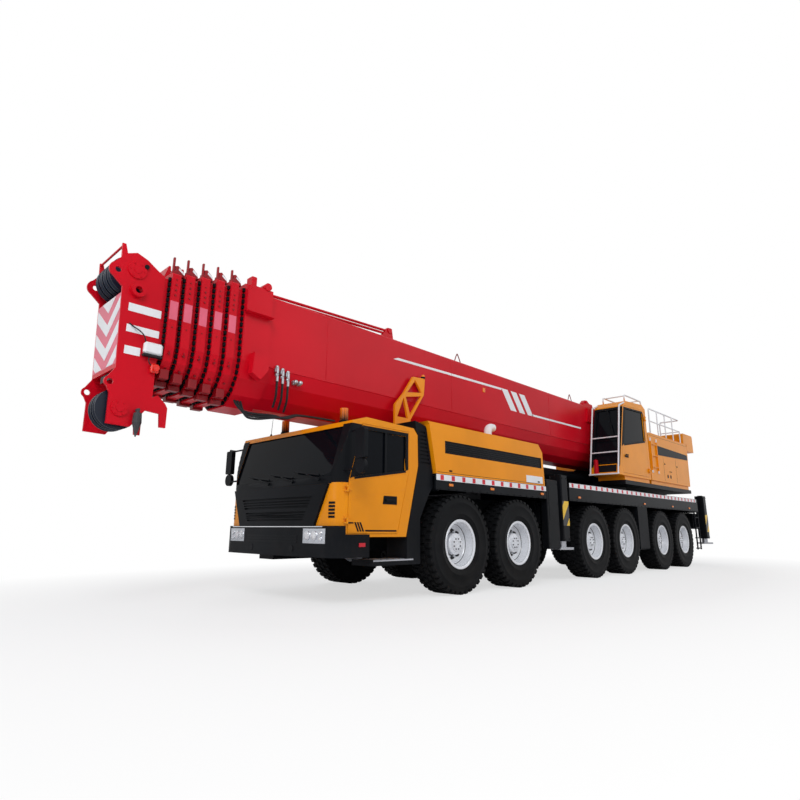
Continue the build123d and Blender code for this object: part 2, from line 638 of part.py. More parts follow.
def cab_hinge(z_low, z_high, direction):
    """Round barrel of the left cab door's hinge with its leaf, on the pillar (1) or on the door (-1)."""
    x, y, _ = CAB_HINGE
    radius = CAB_HINGE_RADIUS
    barrel = rod_z(x, y, radius, z_low, z_high)
    if direction > 0:
        return barrel + block(x, x + 38, y - 85, y + 8, z_low, z_high)
    arm = block(x - 30, x, y - radius, y + 8, z_low, z_high)
    return barrel + arm + block(x - 62, x - 30, y - 35, y + 8, z_low, z_high)


def cab_glass():
    """Windscreen and rear pane, following the cab's form inside the wall's thickness."""
    skin = cab_body(PANE_DEPTH) - cab_body(PANE_DEPTH + PANE)
    gap = SEAT_GAP
    half, low, high = WINDSCREEN
    front = skin & block(1950, 2700, -half + gap, half - gap, low + gap, high - gap)
    half, low, high = REAR_WINDOW
    rear = skin & block(700, 1080, -half + gap, half - gap, low + gap, high - gap)
    return [front, rear]


def cab_door():
    """Left door as thick as the cab's wall, with its hinge barrels and its pane."""
    inner = CAB_HALF - CAB_WALL
    panel = side_plate(DOOR_OUTLINE, inner, CAB_HALF) & cab_body(0)
    panel = panel - side_plate(DOOR_WINDOW, inner - 1, CAB_HALF + 1)
    x, y, radius = CAB_HINGE
    for z in CAB_HINGE_Z:
        panel = panel + cab_hinge(z - CAB_HINGE_HALF, z + CAB_HINGE_HALF, -1)
        panel = panel - rod_z(x, y, radius + RUNNING_GAP, z - 2 * CAB_HINGE_HALF, z + 2 * CAB_HINGE_HALF)
    pane = offset(side_face(DOOR_WINDOW, CAB_HALF - PANE_DEPTH - PANE), -SEAT_GAP, kind=Kind.INTERSECTION)
    pane = extrude(pane, amount=PANE, dir=(0, 1, 0))
    return [panel, pane]


def cab_interior():
    """Two seats, the dashboard with the steering wheel, and the tunnel between the seats."""
    floor = CAB_SIDE[0][1] + CAB_WALL
    seats = []
    for y in (-760.0, 760.0):
        base = block(1350, 1830, y - 240, y + 240, floor, floor + 380)
        back = side_plate(((1350, floor + 380), (1220, floor + 1050), (1330, floor + 1050),
                           (1470, floor + 380)), y - 230, y + 230)
        seats.append(base + back)
    dash = side_plate(((2100, floor), (2100, floor + 520), (2180, floor + 640), (2330, floor + 640),
                       (2330, floor)), -1050, 1050)
    column = Pos(2010, 760, floor + 640) * Rot(0, -35, 0) * Cylinder(30, 340)
    ring = Pos(1912, 760, floor + 779) * Rot(0, -35, 0) * Torus(210, 18)
    spokes = Pos(1912, 760, floor + 779) * Rot(0, -35, 0) * Box(40, 420, 16)
    tunnel = block(1250, 2050, -330, 330, floor, floor + 330)
    return [*seats, dash + column + ring + spokes, tunnel]


def lamp_space(side, gap):
    """Pocket of one headlamp in the bumper's face, or the lamp itself when a gap is left round it."""
    y_low, y_high = sorted((side * (LAMP_Y[0] + gap), side * (LAMP_Y[1] - gap)))
    skin = plan_solid(-BUMPER_OUT + gap, *BUMPER_Z) - plan_solid(-BUMPER_OUT + LAMP_DEPTH - gap, *BUMPER_Z)
    return skin & block(BUMPER_REAR, 3000, y_low, y_high, LAMP_Z[0] + gap, LAMP_Z[1] - gap)


def front_bumper():
    """Bumper that follows the cab's front, open at the back round the frame's nose."""
    body = plan_solid(-BUMPER_OUT, *BUMPER_Z) - plan_solid(BUMPER_WALL, BUMPER_Z[0] + 30, BUMPER_Z[1] + 1)
    body = body & block(BUMPER_REAR, 3000, -2000, 2000, 0, 2000)
    body = body - cab_body(-SEAT_GAP)
    door_front, door_low = DOOR_OUTLINE[0]
    ahead, below = DOOR_SWING_GAPS
    body = body - block(0, door_front + ahead, -2000, 2000, door_low - below, 2000)
    body = body - block(0, NOSE_FRONT - 40, -FRAME_HALF - 1, FRAME_HALF + 1, 0, 2000)
    bracket = block(NOSE_FRONT - 39.5, NOSE_FRONT + 170, -300, 300, BUMPER_Z[0] + 20, BUMPER_Z[0] + 160)
    body = body + bracket
    for side in (-1, 1):
        body = body - lamp_space(side, 0)
    return [body, grille()]


def grille():
    """Panel on the cab's face, bowed like it, with two sunk openings crossed by bars."""
    low = BUMPER_Z[1] + SEAT_GAP
    bottom, top = GRILLE_HALF
    skin = plan_solid(-GRILLE_OUT, low, GRILLE_TOP) - cab_body(-SEAT_GAP)
    outline = ((-bottom, low), (bottom, low), (top, GRILLE_TOP), (-top, GRILLE_TOP))
    panel = skin & front_view(outline, 2000, 3000)
    sunk = plan_solid(-GRILLE_OUT - 1, low, GRILLE_TOP)
    sunk = sunk - plan_solid(GRILLE_DEPTH - GRILLE_OUT, low, GRILLE_TOP)
    for z_low, z_high, half_low, half_high in GRILLE_SLOTS:
        outline = ((-half_low, z_low), (half_low, z_low), (half_high, z_high), (-half_high, z_high))
        opening = front_view(outline, 2000, 3000)
        for number in range(GRILLE_BARS):
            z = z_low + (z_high - z_low) * (number + 1) / (GRILLE_BARS + 1)
            opening = opening - block(1999, 3001, -top, top, z - GRILLE_BAR_HALF, z + GRILLE_BAR_HALF)
        panel = panel - (sunk & opening)
    return panel


def headlamps():
    """One lamp block in each pocket of the bumper."""
    return [lamp_space(side, SEAT_GAP) for side in (-1, 1)]


def cab_mirrors():
    """Mirrors of each side on two arms from the front pillar, and the two beacons on the roof."""
    arms = [rod_y(x, z, MIRROR_ARM_RADIUS, CAB_HALF - 120, MIRROR_Y) for x, z in MIRROR_ARMS]
    top_x, top_z = MIRROR_ARMS[0]
    low_x, low_z = MIRROR_ARMS[1]
    link = rod_x(MIRROR_Y, top_z, MIRROR_ARM_RADIUS, top_x - MIRROR_ARM_RADIUS, low_x + MIRROR_ARM_RADIUS)
    post = rod_z(low_x, MIRROR_Y, MIRROR_ARM_RADIUS, low_z - MIRROR_ARM_RADIUS, top_z + MIRROR_ARM_RADIUS)
    tall = block(low_x - 45, low_x + 25, MIRROR_Y - 85, MIRROR_Y + 85, *TALL_MIRROR_Z)
    tall = fillet(tall.edges().filter_by(Axis.X), 22)
    low = rod_x(MIRROR_Y, ROUND_MIRROR_Z, 95, low_x - 40, low_x + 15)
    frame = fused([*arms, link, post, tall, low]) - cab_body(-SEAT_GAP)
    x, y, radius, top = BEACON
    roof = max(z for _, z in CAB_SIDE)
    beacon = rod_z(x, y, radius * 1.2, roof - 60, roof + 40) + rod_z(x, y, radius, roof, top)
    beacon = beacon - cab_body(-SEAT_GAP)
    left = [main_solid(frame), main_solid(beacon)]
    return [piece for shape in left for piece in both_sides(shape)]


def side_fittings():
    """Locker between axles four and five, rear ladder, and the column behind the cab, on both sides."""
    x_low, x_high, y_low, z_low = LOCKER
    locker = block(x_low, x_high, y_low, CARRIER_HALF, z_low, SKIRT_BOTTOM)
    locker = fillet(locker.edges().filter_by(Axis.X).group_by(Axis.Z)[0], 50)
    x_low, x_high, z_low = REAR_LADDER
    wide, deep = LADDER_STILE
    ladder = block(x_low, x_low + wide, CARRIER_HALF - deep, CARRIER_HALF, z_low, SKIRT_BOTTOM)
    ladder = ladder + block(x_high - wide, x_high, CARRIER_HALF - deep, CARRIER_HALF, z_low, SKIRT_BOTTOM)
    for number in range(LADDER_STEPS):
        z = z_low + 20 + number * LADDER_PITCH
        ladder = ladder + block(x_low + 1, x_high - 1, CARRIER_HALF - REAR_STEP_DEPTH, CARRIER_HALF - 1,
                                z, z + wide)
    column = side_plate(COLUMN_SIDE, COLUMN_INNER, CAB_HALF)
    height, depth = INTAKE_SLOT
    (foot_x, foot_z), (top_x, top_z) = COLUMN_SIDE[-1], COLUMN_SIDE[-2]
    for number in range(INTAKE_SLOTS):
        z = INTAKE_LOW + number * INTAKE_PITCH
        edge = foot_x + (top_x - foot_x) * (z + height - foot_z) / (top_z - foot_z)
        column = column - block(edge + INTAKE_EDGE, COLUMN_SIDE[9][0] - INTAKE_EDGE,
                                CAB_HALF - depth, CAB_HALF + 1, z, z + height)
    return [piece for shape in (locker, ladder, column) for piece in both_sides(shape)]


def boom_rest():
    """Two braced plates that flank the boom, joined by a cross beam with the rest pad."""
    plate = side_plate(REST_SIDE, REST_INNER, REST_INNER + REST_THICK)
    for window in REST_WINDOWS:
        plate = plate - side_plate(window, REST_INNER - 1, REST_INNER + REST_THICK + 1)
    x_low, x_high, height = REST_BEAM
    top = TROUGH_FLOOR + height
    beam = block(x_low, x_high, -REST_INNER - 10, REST_INNER + 10, TROUGH_FLOOR, top)
    pad = block(x_low + 30, x_high - 30, -REST_PAD_HALF, REST_PAD_HALF, top - 1, belly_z(0) - REST_PAD_GAP)
    return fused([*both_sides(plate), beam, pad])


def wing_top():
    """Height of the platform's wings, which carry the operator's cab and the housings."""
    return RING_TOP + PLATFORM_GAP + PLATFORM_DISC + PLATFORM_FLOOR + WING_RISE


def slew_platform():
    """Disc on the slewing ring, floor, two side plates and the ears of the luffing cylinder."""
    bottom = RING_TOP + PLATFORM_GAP
    disc_top = bottom + PLATFORM_DISC
    floor_top = disc_top + PLATFORM_FLOOR
    outer = PLATE_INNER + PLATE_THICK
    disc = rod_z(SLEW_X, 0, PLATFORM_RADIUS, bottom, disc_top)
    floor = block(TAIL_X, -6650, -outer, outer, disc_top - 1, floor_top)
    wings = block(TAIL_X + 60, -6600, -HOUSING_Y[1], HOUSING_Y[1], floor_top - 40, wing_top())
    wings = wings - block(TAIL_X, -6500, -PLATE_INNER, PLATE_INNER, floor_top, wing_top() + 1)
    px, pz = BOOM_PIVOT
    plate = side_plate(((-6700, disc_top), (-6900, 2560), (-8000, 2640), (px + 420, pz + 60),
                        (px + 180, pz + 260), (px - 180, pz + 260), (px - 420, pz),
                        (-10300, 2950), (TAIL_X, 2950), (TAIL_X, disc_top)), PLATE_INNER, outer)
    plate = plate - rod_y(px, pz, PIVOT_RADIUS + RUNNING_GAP, 0, 2000)
    bx, bz = LUFF_BASE
    ear = side_plate(((bx - 260, floor_top - 20), (bx - 110, bz + 90), (bx + 110, bz + 90),
                      (bx + 260, floor_top - 20)), LUFF_EAR_INNER, LUFF_EAR_INNER + LUFF_EAR_THICK)
    ear = ear - rod_y(bx, bz, LUFF_PIN_RADIUS + RUNNING_GAP, 0, 2000)
    return fused([disc, floor, wings, *both_sides(plate), *both_sides(ear)])


def operator_body(inset):
    """Outer form of the operator's cab, or one inside it by the given distance."""
    low, high = OPERATOR_Y
    face = side_face(OPERATOR_SIDE, low + inset)
    if inset:
        face = offset(face, -inset, kind=Kind.INTERSECTION)
    return extrude(face, amount=high - low - 2 * inset, dir=(0, 1, 0))


def operator_openings(gap):
    """Front, rear and inner side windows of the operator's cab, as blocks, less a gap all round."""
    low, high = OPERATOR_Y
    side = OPERATOR_PILLAR + gap
    rear_x = OPERATOR_SIDE[-2][0]
    z_low, z_high = OPERATOR_FRONT_Z
    front = block(-7050, -6000, low + side, high - side, z_low + gap, z_high - gap)
    z_low, z_high = OPERATOR_REAR_Z
    rear = block(rear_x - 100, rear_x + 100, low + side, high - side, z_low + gap, z_high - gap)
    x_low, x_high, z_low, z_high = OPERATOR_INNER_PANE
    inner = block(x_low + gap, x_high - gap, low - 10, low + OPERATOR_WALL + 10, z_low + gap, z_high - gap)
    return [front, rear, inner]


def hinge_barrel(z_low, z_high, direction):
    """Round barrel and its leaf on the axis of the operator's door, to the front (1) or the rear (-1)."""
    x, y, _ = OPERATOR_HINGE
    x_low, x_high = sorted((x, x + direction * HINGE_LEAF))
    leaf = block(x_low, x_high, OPERATOR_Y[1], y + 10, z_low, z_high)
    return rod_z(x, y, HINGE_BARREL_RADIUS, z_low, z_high) + leaf


def operator_cab():
    """Hollow operator's cab with its windows and door opening cut, and the seat's plinth left in."""
    low, high = OPERATOR_Y
    shell = operator_body(0) - operator_body(OPERATOR_WALL)
    for cut in operator_openings(0):
        shell = shell - cut
    opening = offset(side_face(OPERATOR_DOOR, high - OPERATOR_WALL - 5), DOOR_GAP, kind=Kind.INTERSECTION)
    shell = shell - extrude(opening, amount=OPERATOR_WALL + 10, dir=(0, 1, 0))
    floor = OPERATOR_SIDE[-1][1] + OPERATOR_WALL
    rear, front, seat_high, back_high = OPERATOR_SEAT
    seat = block(rear, front, low + 120, high - 160, floor - 1, floor + seat_high)
    back_foot, back_top = floor + seat_high - 1, floor + back_high
    back = side_plate(((rear, back_foot), (rear - 130, back_top), (rear - 30, back_top),
                       (rear + 120, back_foot)), low + 130, high - 170)
    foot = block(OPERATOR_SIDE[-2][0] + 40, -6600, low + 20, high - 40, wing_top(), OPERATOR_SIDE[-1][1] + 1)
    hinges = []
    x, y, radius = OPERATOR_HINGE
    inner = HINGE_BARREL_HALF + 1
    outer = inner + 2 * HINGE_BARREL_HALF
    for z in OPERATOR_HINGE_Z:
        hinges.append(rod_z(x, y, radius, z - outer, z + outer))
        hinges.append(hinge_barrel(z - outer, z - inner, -1))
        hinges.append(hinge_barrel(z + inner, z + outer, -1))
    return [fused([shell, seat, back, foot, *hinges]), *operator_guard()]


def operator_guard():
    """Tube frame with its platform in front of the operator's cab, and the rail on its roof."""
    low, high = OPERATOR_Y[0] + TUBE_RADIUS, OPERATOR_Y[1] - TUBE_RADIUS
    guard = [tube(TUBE_RADIUS, TUBE_BEND, *[(x, y, z) for x, z in GUARD_SIDE]) for y in (low, high)]
    (foot_x, foot_z), (top_x, top_z) = GUARD_SIDE[:2]
    for z in GUARD_BAR_Z:
        x = foot_x + (top_x - foot_x) * (z - foot_z) / (top_z - foot_z)
        guard.append(rod_y(x, z, TUBE_RADIUS - 3, low, high))
    x_low, x_high, z_low, z_high = GUARD_PLATE
    guard.append(block(x_low, x_high, low - TUBE_RADIUS, high + TUBE_RADIUS, z_low, z_high))
    rear, front, inner, outer = ROOF_RAIL
    foot, top = ROOF_RAIL_Z
    rail = [tube(TUBE_RADIUS, TUBE_BEND, (front, y, foot), (front, y, top), (rear, y, top), (rear, y, foot))
            for y in (inner, outer)]
    for x in (front - 2 * TUBE_BEND, rear + 2 * TUBE_BEND):
        rail.append(rod_y(x, top, TUBE_RADIUS - 3, inner, outer))
    keep_out = operator_body(-SEAT_GAP)
    return [main_solid(fused(pieces) - keep_out) for pieces in (guard, rail)]


def operator_glass():
    """Panes of the operator's cab, following its form inside the wall's thickness."""
    skin = operator_body(PANE_DEPTH) - operator_body(PANE_DEPTH + PANE)
    return [skin & opening for opening in operator_openings(SEAT_GAP)]


def operator_door():
    """Door of the operator's cab, with its pane."""
    high = OPERATOR_Y[1]
    panel = side_plate(OPERATOR_DOOR, high - OPERATOR_WALL, high)
    panel = panel - side_plate(OPERATOR_WINDOW, high - OPERATOR_WALL - 1, high + 1)
    x, y, radius = OPERATOR_HINGE
    for z in OPERATOR_HINGE_Z:
        panel = panel + hinge_barrel(z - HINGE_BARREL_HALF, z + HINGE_BARREL_HALF, 1)
        panel = panel - rod_z(x, y, radius + RUNNING_GAP, z - 50, z + 50)
    pane = offset(side_face(OPERATOR_WINDOW, high - PANE_DEPTH - PANE), -SEAT_GAP, kind=Kind.INTERSECTION)
    return [panel, extrude(pane, amount=PANE, dir=(0, 1, 0))]


def power_pack():
    """Left and right housings on the platform's wings, with the left one's rail and folded ladder."""
    housing = side_plate(HOUSING_SIDE, *HOUSING_Y)
    (front, foot), (rear, _) = HOUSING_SIDE[0], HOUSING_SIDE[-1]
    inner, outer = HOUSING_Y
    housing = housing + block(rear + 50, front - 50, inner + 40, outer - 40, wing_top(), foot + 1)
    return [*both_sides(housing), housing_rail(), side_ladder()]


def housing_rail():
    """Two-bar rail along the outer edge of the left housing's top, turned in at its rear end."""
    inner, outer = RAIL_Y
    foot = HOUSING_TOP + SEAT_GAP
    top, middle = HOUSING_TOP + RAIL_HEIGHT, HOUSING_TOP + RAIL_MIDDLE_HEIGHT
    front, rear = RAIL_POSTS[0], RAIL_POSTS[-1]
    rail = tube(TUBE_RADIUS, TUBE_BEND, (front, outer, foot), (front, outer, top),
                (rear, outer, top), (rear, inner, top), (rear, inner, foot))
    bar = TUBE_RADIUS - 3
    rail = rail + rod_x(outer, middle, bar, rear, front) + rod_y(rear, middle, bar, inner, outer)
    rail = rail + rod_z(rear, outer, bar, foot, middle)
    for x in RAIL_POSTS[1:-1]:
        rail = rail + rod_z(x, outer, bar, foot, top)
    return rail


def side_ladder():
    """Folded ladder hung on the left housing's side."""
    x_low, x_high, z_low, z_high = SIDE_LADDER
    wide, deep = LADDER_STILE
    y = HOUSING_Y[1] + SEAT_GAP
    ladder = [block(x, x + wide, y, y + deep, z_low, z_high) for x in (x_low, x_high - wide)]
    for number in range(SIDE_LADDER_RUNGS):
        z = z_low + (z_high - z_low) * (number + 0.5) / SIDE_LADDER_RUNGS
        ladder.append(block(x_low + 1, x_high - 1, y + 5, y + deep - 5, z - wide / 2, z + wide / 2))
    return fused(ladder)


def winch():
    """Hoist drum with its flanges, held between the side plates."""
    x, z = WINCH
    half = PLATE_INNER - SEAT_GAP
    drum = rod_y(x, z, WINCH_DRUM_RADIUS, -half, half)
    for side in (-1, 1):
        flange = sorted((side * half, side * (half - 40)))
        drum = drum + rod_y(x, z, WINCH_FLANGE_RADIUS, *flange)
    return drum


def counterweight():
    """Rear slab hung on the tail of the side plates, and the box above it that reaches over the housings."""
    x_low, half, z_low, z_high = COUNTERWEIGHT
    slab = block(x_low, TAIL_X - SEAT_GAP, -half, half, z_low, z_high)
    slab = fillet(slab.edges().filter_by(Axis.Z).group_by(Axis.X)[0], COUNTERWEIGHT_CORNER)
    return [slab, side_plate(TAIL_BOX_SIDE, -HOUSING_Y[1], HOUSING_Y[1])]


def boom_outline(shrink):
    """Cross-section of a boom tube whose skin lies the given distance inside the base section's."""
    half = BOOM_HALF_WIDTH - shrink
    depth = BOOM_BELLY_DEPTH - shrink
    top = BOOM_TOP - shrink
    belly = [(half * cos(radians(a)), BOOM_BEND_Z - depth * sin(radians(a))) for a in BELLY_ANGLES]
    points = [(half, top), *belly, *[(-y, z) for y, z in reversed(belly)], (-half, top)]
    face = make_face(Plane.YZ * Polyline(*points, close=True))
    return fillet(face.vertices().group_by(Axis.Z)[-1], BOOM_CORNER_RADIUS)


def boom_solid(shrink, x_low, x_high):
    return extrude(Pos(x_low, 0, 0) * boom_outline(shrink), amount=x_high - x_low, dir=(1, 0, 0))


def belly_z(shrink):
    """Height of the flat bottom of a boom tube."""
    return BOOM_BEND_Z - (BOOM_BELLY_DEPTH - shrink) * sin(radians(BELLY_ANGLES[-1]))


def half_shells(shape, x_low, x_high):
    """A boom tube's upper and lower half-shells, parted along the welds at its bend."""
    half = BOOM_HALF_WIDTH + COLLAR_OUT + 1
    seam = block(x_low, x_high, -half, half, BOOM_BEND_Z - SEAT_GAP, BOOM_BEND_Z)
    return list((shape - seam).solids())


def crosswise(x):
    """Slit across the boom from the given x forward, where its tube meets its foot or its head."""
    half = BOOM_HALF_WIDTH + 1
    return block(x, x + SEAT_GAP, -half, half, BOOM_BEND_Z - BOOM_BELLY_DEPTH, BOOM_TOP + 1)


def wear_pad(section, x_low, x_high):
    """Block on a section's inner floor that the next section slides on."""
    floor = belly_z(section * SECTION_STEP + SECTION_WALL)
    top = belly_z((section + 1) * SECTION_STEP) - PAD_GAP
    return block(x_low, x_high, -150, 150, floor - 1, top)


def boom_base():
    """Base section: foot with the pivot, and half-shells with the collar and the luffing cylinder's ears."""
    px, pz = BOOM_PIVOT
    foot_x = SECTION_REAR_X - BASE_FOOT_GAP
    shell = boom_solid(0, BASE_REAR_X, BASE_COLLAR[1])
    bore = boom_solid(SECTION_WALL, foot_x, BASE_COLLAR[1] + 1)
    collar = boom_solid(-COLLAR_OUT, *BASE_COLLAR)
    pin = rod_y(px, pz, PIVOT_RADIUS, -PLATE_INNER - PLATE_THICK - 20, PLATE_INNER + PLATE_THICK + 20)
    boss = rod_y(px, pz, PIVOT_RADIUS + 130, -PLATE_INNER + 8, PLATE_INNER - 8)
    ex, ez = LUFF_EYE
    ear = side_plate(((ex - 420, belly_z(0) + 40), (ex - 100, ez - 100), (ex + 100, ez - 100),
                      (ex + 420, belly_z(0) + 40)), LUFF_EAR_INNER, LUFF_EAR_INNER + LUFF_EAR_THICK)
    ear = ear - rod_y(ex, ez, LUFF_PIN_RADIUS + RUNNING_GAP, 0, 1000)
    pad = wear_pad(0, BASE_COLLAR[1] - 190, BASE_COLLAR[1] - 10)
    base = fused([shell, collar, pin, boss, *both_sides(ear)]) - bore + pad - crosswise(foot_x)
    return half_shells(base, foot_x, BASE_COLLAR[1])


def boom_section(number, front, fin):
    """Telescoping section: tube, front collar with its top fin and the pad for the next section."""
    shrink = number * SECTION_STEP
    collar_rear = front - COLLAR_LENGTH
    shell = boom_solid(shrink, SECTION_REAR_X + 40 * number, front)
    collar = boom_solid(shrink - COLLAR_OUT, collar_rear, front)
    top = BOOM_TOP - shrink + COLLAR_OUT
    blade = side_plate(((collar_rear, top - 10), (collar_rear + 20, top + fin),
                        (collar_rear + 20 + FIN_THICK, top + fin), (front, top - 10)), -150, 150)
    bore = boom_solid(shrink + SECTION_WALL, SECTION_REAR_X - 100, front + 1)
    section = fused([shell, collar, blade]) - bore + wear_pad(number, front - 100, front - 10)
    return half_shells(section, SECTION_REAR_X, front)


def boom_head():
    """Innermost section with the head's cheek plates, lugs, front plate and rope guard."""
    shrink = HEAD_SECTION * SECTION_STEP
    shell = boom_solid(shrink, SECTION_REAR_X + 40 * HEAD_SECTION, HEAD_REAR_X + 40)
    bore = boom_solid(shrink + SECTION_WALL, SECTION_REAR_X - 100, HEAD_REAR_X + 1)
    inner = HEAD_HALF - CHEEK_THICK
    cheek = side_plate(CHEEK_SIDE, inner, HEAD_HALF) + side_plate(ROPE_ARM_SIDE, inner, HEAD_HALF)
    for x, z, radius in (UPPER_LUG, LOWER_LUG):
        cheek = cheek + rod_y(x, z, radius, inner, HEAD_HALF)
        cheek = cheek - rod_y(x, z, LUG_HOLE_RADIUS, inner - 1, HEAD_HALF + 1)
    x, z, radius, out = SIDE_BOSS
    cheek = cheek + rod_y(x, z, radius, inner, HEAD_HALF + out)
    cheek = cheek - rod_y(x, z, radius / 2, inner - 1, HEAD_HALF + out + 1)
    x, z, radius = ROPE_GUARD
    cheek = cheek + side_plate(((x - 70, z - 160), (x - 20, z + 20), (x + 20, z + 20), (x + 10, z - 160)),
                               inner, HEAD_HALF)
    pieces = [side_plate(FRONT_PLATE_SIDE, -HEAD_HALF, HEAD_HALF), rod_y(x, z, radius, -HEAD_HALF, HEAD_HALF),
              block(0, 40, -HEAD_HALF, HEAD_HALF, *HEAD_PLATE_Z), *both_sides(cheek)]
    head = Pos(HEAD_REAR_X, 0, 0) * fused(pieces)
    for x, z, _ in (UPPER_SHEAVE, LOWER_SHEAVE):
        head = head + rod_y(x, z, SHEAVE_PIN_RADIUS, -HEAD_HALF - 25, HEAD_HALF + 25)
    section = shell - bore + head - crosswise(HEAD_REAR_X - SEAT_GAP)
    return half_shells(section, SECTION_REAR_X, HEAD_REAR_X - SEAT_GAP)


def head_sheaves():
    """Upper sheave rows and the lower sheaves, on the head's pins."""
    sheaves = []
    for (x, z, radius), rows in ((UPPER_SHEAVE, UPPER_ROWS), (LOWER_SHEAVE, LOWER_ROWS)):
        for y in rows:
            disc = turned(((SHEAVE_PIN_RADIUS + SEAT_GAP, -SHEAVE_HALF), (radius, -SHEAVE_HALF),
                           (radius, -SHEAVE_HALF + 12), (radius - 45, -8), (radius - 45, 8),
                           (radius, SHEAVE_HALF - 12), (radius, SHEAVE_HALF),
                           (SHEAVE_PIN_RADIUS + SEAT_GAP, SHEAVE_HALF)))
            sheaves.append(Pos(x, y, z) * disc)
    return sheaves


def luff_barrel():
    """Cylinder barrel with its lower eye."""
    x, z = LUFF_BASE
    barrel = rod_x(0, z, LUFF_BARREL_RADIUS, x + 280, x + LUFF_BARREL_LENGTH)
    eye = rod_y(x, z, 135, -LUFF_EAR_INNER + 6, LUFF_EAR_INNER - 6)
    neck = block(x, x + 300, -95, 95, z - 95, z + 95)
    pin = rod_y(x, z, LUFF_PIN_RADIUS, -LUFF_EAR_INNER - LUFF_EAR_THICK - 15,
                LUFF_EAR_INNER + LUFF_EAR_THICK + 15)
    bore = rod_x(0, z, LUFF_ROD_RADIUS + RUNNING_GAP, x + 400, x + LUFF_BARREL_LENGTH + 1)
    return fused([barrel, eye, neck, pin]) - bore


def luff_rod():
    """Cylinder rod with its upper eye, which meets the boom's ears."""
    x, z = LUFF_EYE
    rod = rod_x(0, z, LUFF_ROD_RADIUS, LUFF_BASE[0] + 420, x - 100)
    eye = rod_y(x, z, 130, -LUFF_EAR_INNER + 6, LUFF_EAR_INNER - 6)
    bore = rod_y(x, z, LUFF_PIN_RADIUS, -1000, 1000)
    return rod + eye - bore


def build_nodes():
    """Every piece of the crane by its node's name."""
    nodes = {
        "chassis_frame": chassis_frame(),
        "axle_beams": [axle_beam(x, steered) for x, steered in AXLES],
        "carrier_deck": carrier_deck(),
        "engine_hood": engine_hood(),
        "engine_block": block(ENGINE_BLOCK[0], ENGINE_BLOCK[1], -ENGINE_BLOCK[2], ENGINE_BLOCK[2],
                              ENGINE_BLOCK[3], ENGINE_BLOCK[4]),
        "cab_shell": cab_shell(),
        "cab_glass": cab_glass(),
        "cab_interior": cab_interior(),
        "front_bumper": front_bumper(),
        "headlamps": headlamps(),
        "cab_mirrors": cab_mirrors(),
        "side_fittings": side_fittings(),
        "boom_rest": boom_rest(),
        "slew_platform": slew_platform(),
        "operator_cab": operator_cab(),
        "operator_glass": operator_glass(),
        "operator_door": operator_door(),
        "power_pack": power_pack(),
        "winch": winch(),
        "counterweight": counterweight(),
        "boom_base": boom_base(),
        "boom_head": boom_head(),
        "head_sheaves": head_sheaves(),
        "luff_barrel": luff_barrel(),
        "luff_rod": luff_rod(),
    }
    for number, behind, fin in COLLARS:
        nodes[f"boom_section_{number}"] = boom_section(number, HEAD_REAR_X - behind, fin)
    door = cab_door()
    nodes["cab_door_left"] = door
    nodes["cab_door_right"] = [mirrored(piece) for piece in door]
    for name, rear in OUTRIGGER_BOXES:
        for side_name, side in (("left", 1), ("right", -1)):
            beam, jack = outrigger(rear, side)
            nodes[f"outrigger_beam_{name}_{side_name}"] = beam
            nodes[f"outrigger_jack_{name}_{side_name}"] = jack
    plain_wheel = wheel()
    for number, (x, steered) in enumerate(AXLES, 1):
        left = [Pos(x, WHEEL_Y, TYRE_RADIUS) * piece for piece in plain_wheel]
        nodes[f"wheel_{number}_left"] = left
        nodes[f"wheel_{number}_right"] = [mirrored(piece) for piece in left]
        if steered:
            fork = knuckle(x)
            nodes[f"knuckle_{number}_left"] = fork
            nodes[f"knuckle_{number}_right"] = mirrored(fork)
    return nodes


def main():
    os.makedirs("parts", exist_ok=True)
    for name, shape in build_nodes().items():
        pieces = shape if isinstance(shape, list) else [shape]
        solids = [solid for piece in pieces for solid in piece.solids()]
        moved = Pos(-X_MIDDLE, 0, 0) * Compound(solids)
        export_step(moved, f"parts/{name}.step")


if __name__ == "__main__":
    main()
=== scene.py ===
from math import acos, asin, cos, inf, pi, radians, sin, sqrt

import bmesh
import bpy
from mathutils import Matrix, Vector


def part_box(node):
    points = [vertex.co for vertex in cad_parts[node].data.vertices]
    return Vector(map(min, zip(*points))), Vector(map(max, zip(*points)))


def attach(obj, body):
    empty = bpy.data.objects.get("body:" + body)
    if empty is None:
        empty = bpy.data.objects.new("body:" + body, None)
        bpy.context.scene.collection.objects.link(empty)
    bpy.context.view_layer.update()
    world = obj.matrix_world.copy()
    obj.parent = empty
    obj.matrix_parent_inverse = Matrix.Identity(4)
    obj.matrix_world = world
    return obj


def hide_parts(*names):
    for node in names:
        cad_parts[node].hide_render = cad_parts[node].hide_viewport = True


bl_info = {
    "name": "Mobile crane",
    "version": (1, 0, 0),
    "blender": (4, 5, 0),
    "location": "View3D > Sidebar > Crane",
    "description": "Dresses a mobile crane's frame with its finished pieces, materials and stage",
    "category": "Object",
}

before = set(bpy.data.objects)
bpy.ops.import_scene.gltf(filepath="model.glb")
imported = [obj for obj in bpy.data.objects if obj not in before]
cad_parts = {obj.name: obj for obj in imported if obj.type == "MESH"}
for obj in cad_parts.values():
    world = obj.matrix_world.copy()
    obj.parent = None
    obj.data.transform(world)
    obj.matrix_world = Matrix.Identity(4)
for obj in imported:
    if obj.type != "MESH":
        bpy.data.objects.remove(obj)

# Places are in metres. x counts forward from the first axle, y to the crane's left, z up from the ground.
AXLE_ONE = sum(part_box("wheel_1_left"), Vector()) / 2
WHEEL_NUMBERS = (1, 2, 3, 4, 5, 6)
SIDES = (("left", 1), ("right", -1))
THIN = 0.002
WELD = 1e-5
SMOOTH_ANGLE = radians(35)
SMALLEST_BEVEL = 0.0003
WASHER = 1.35


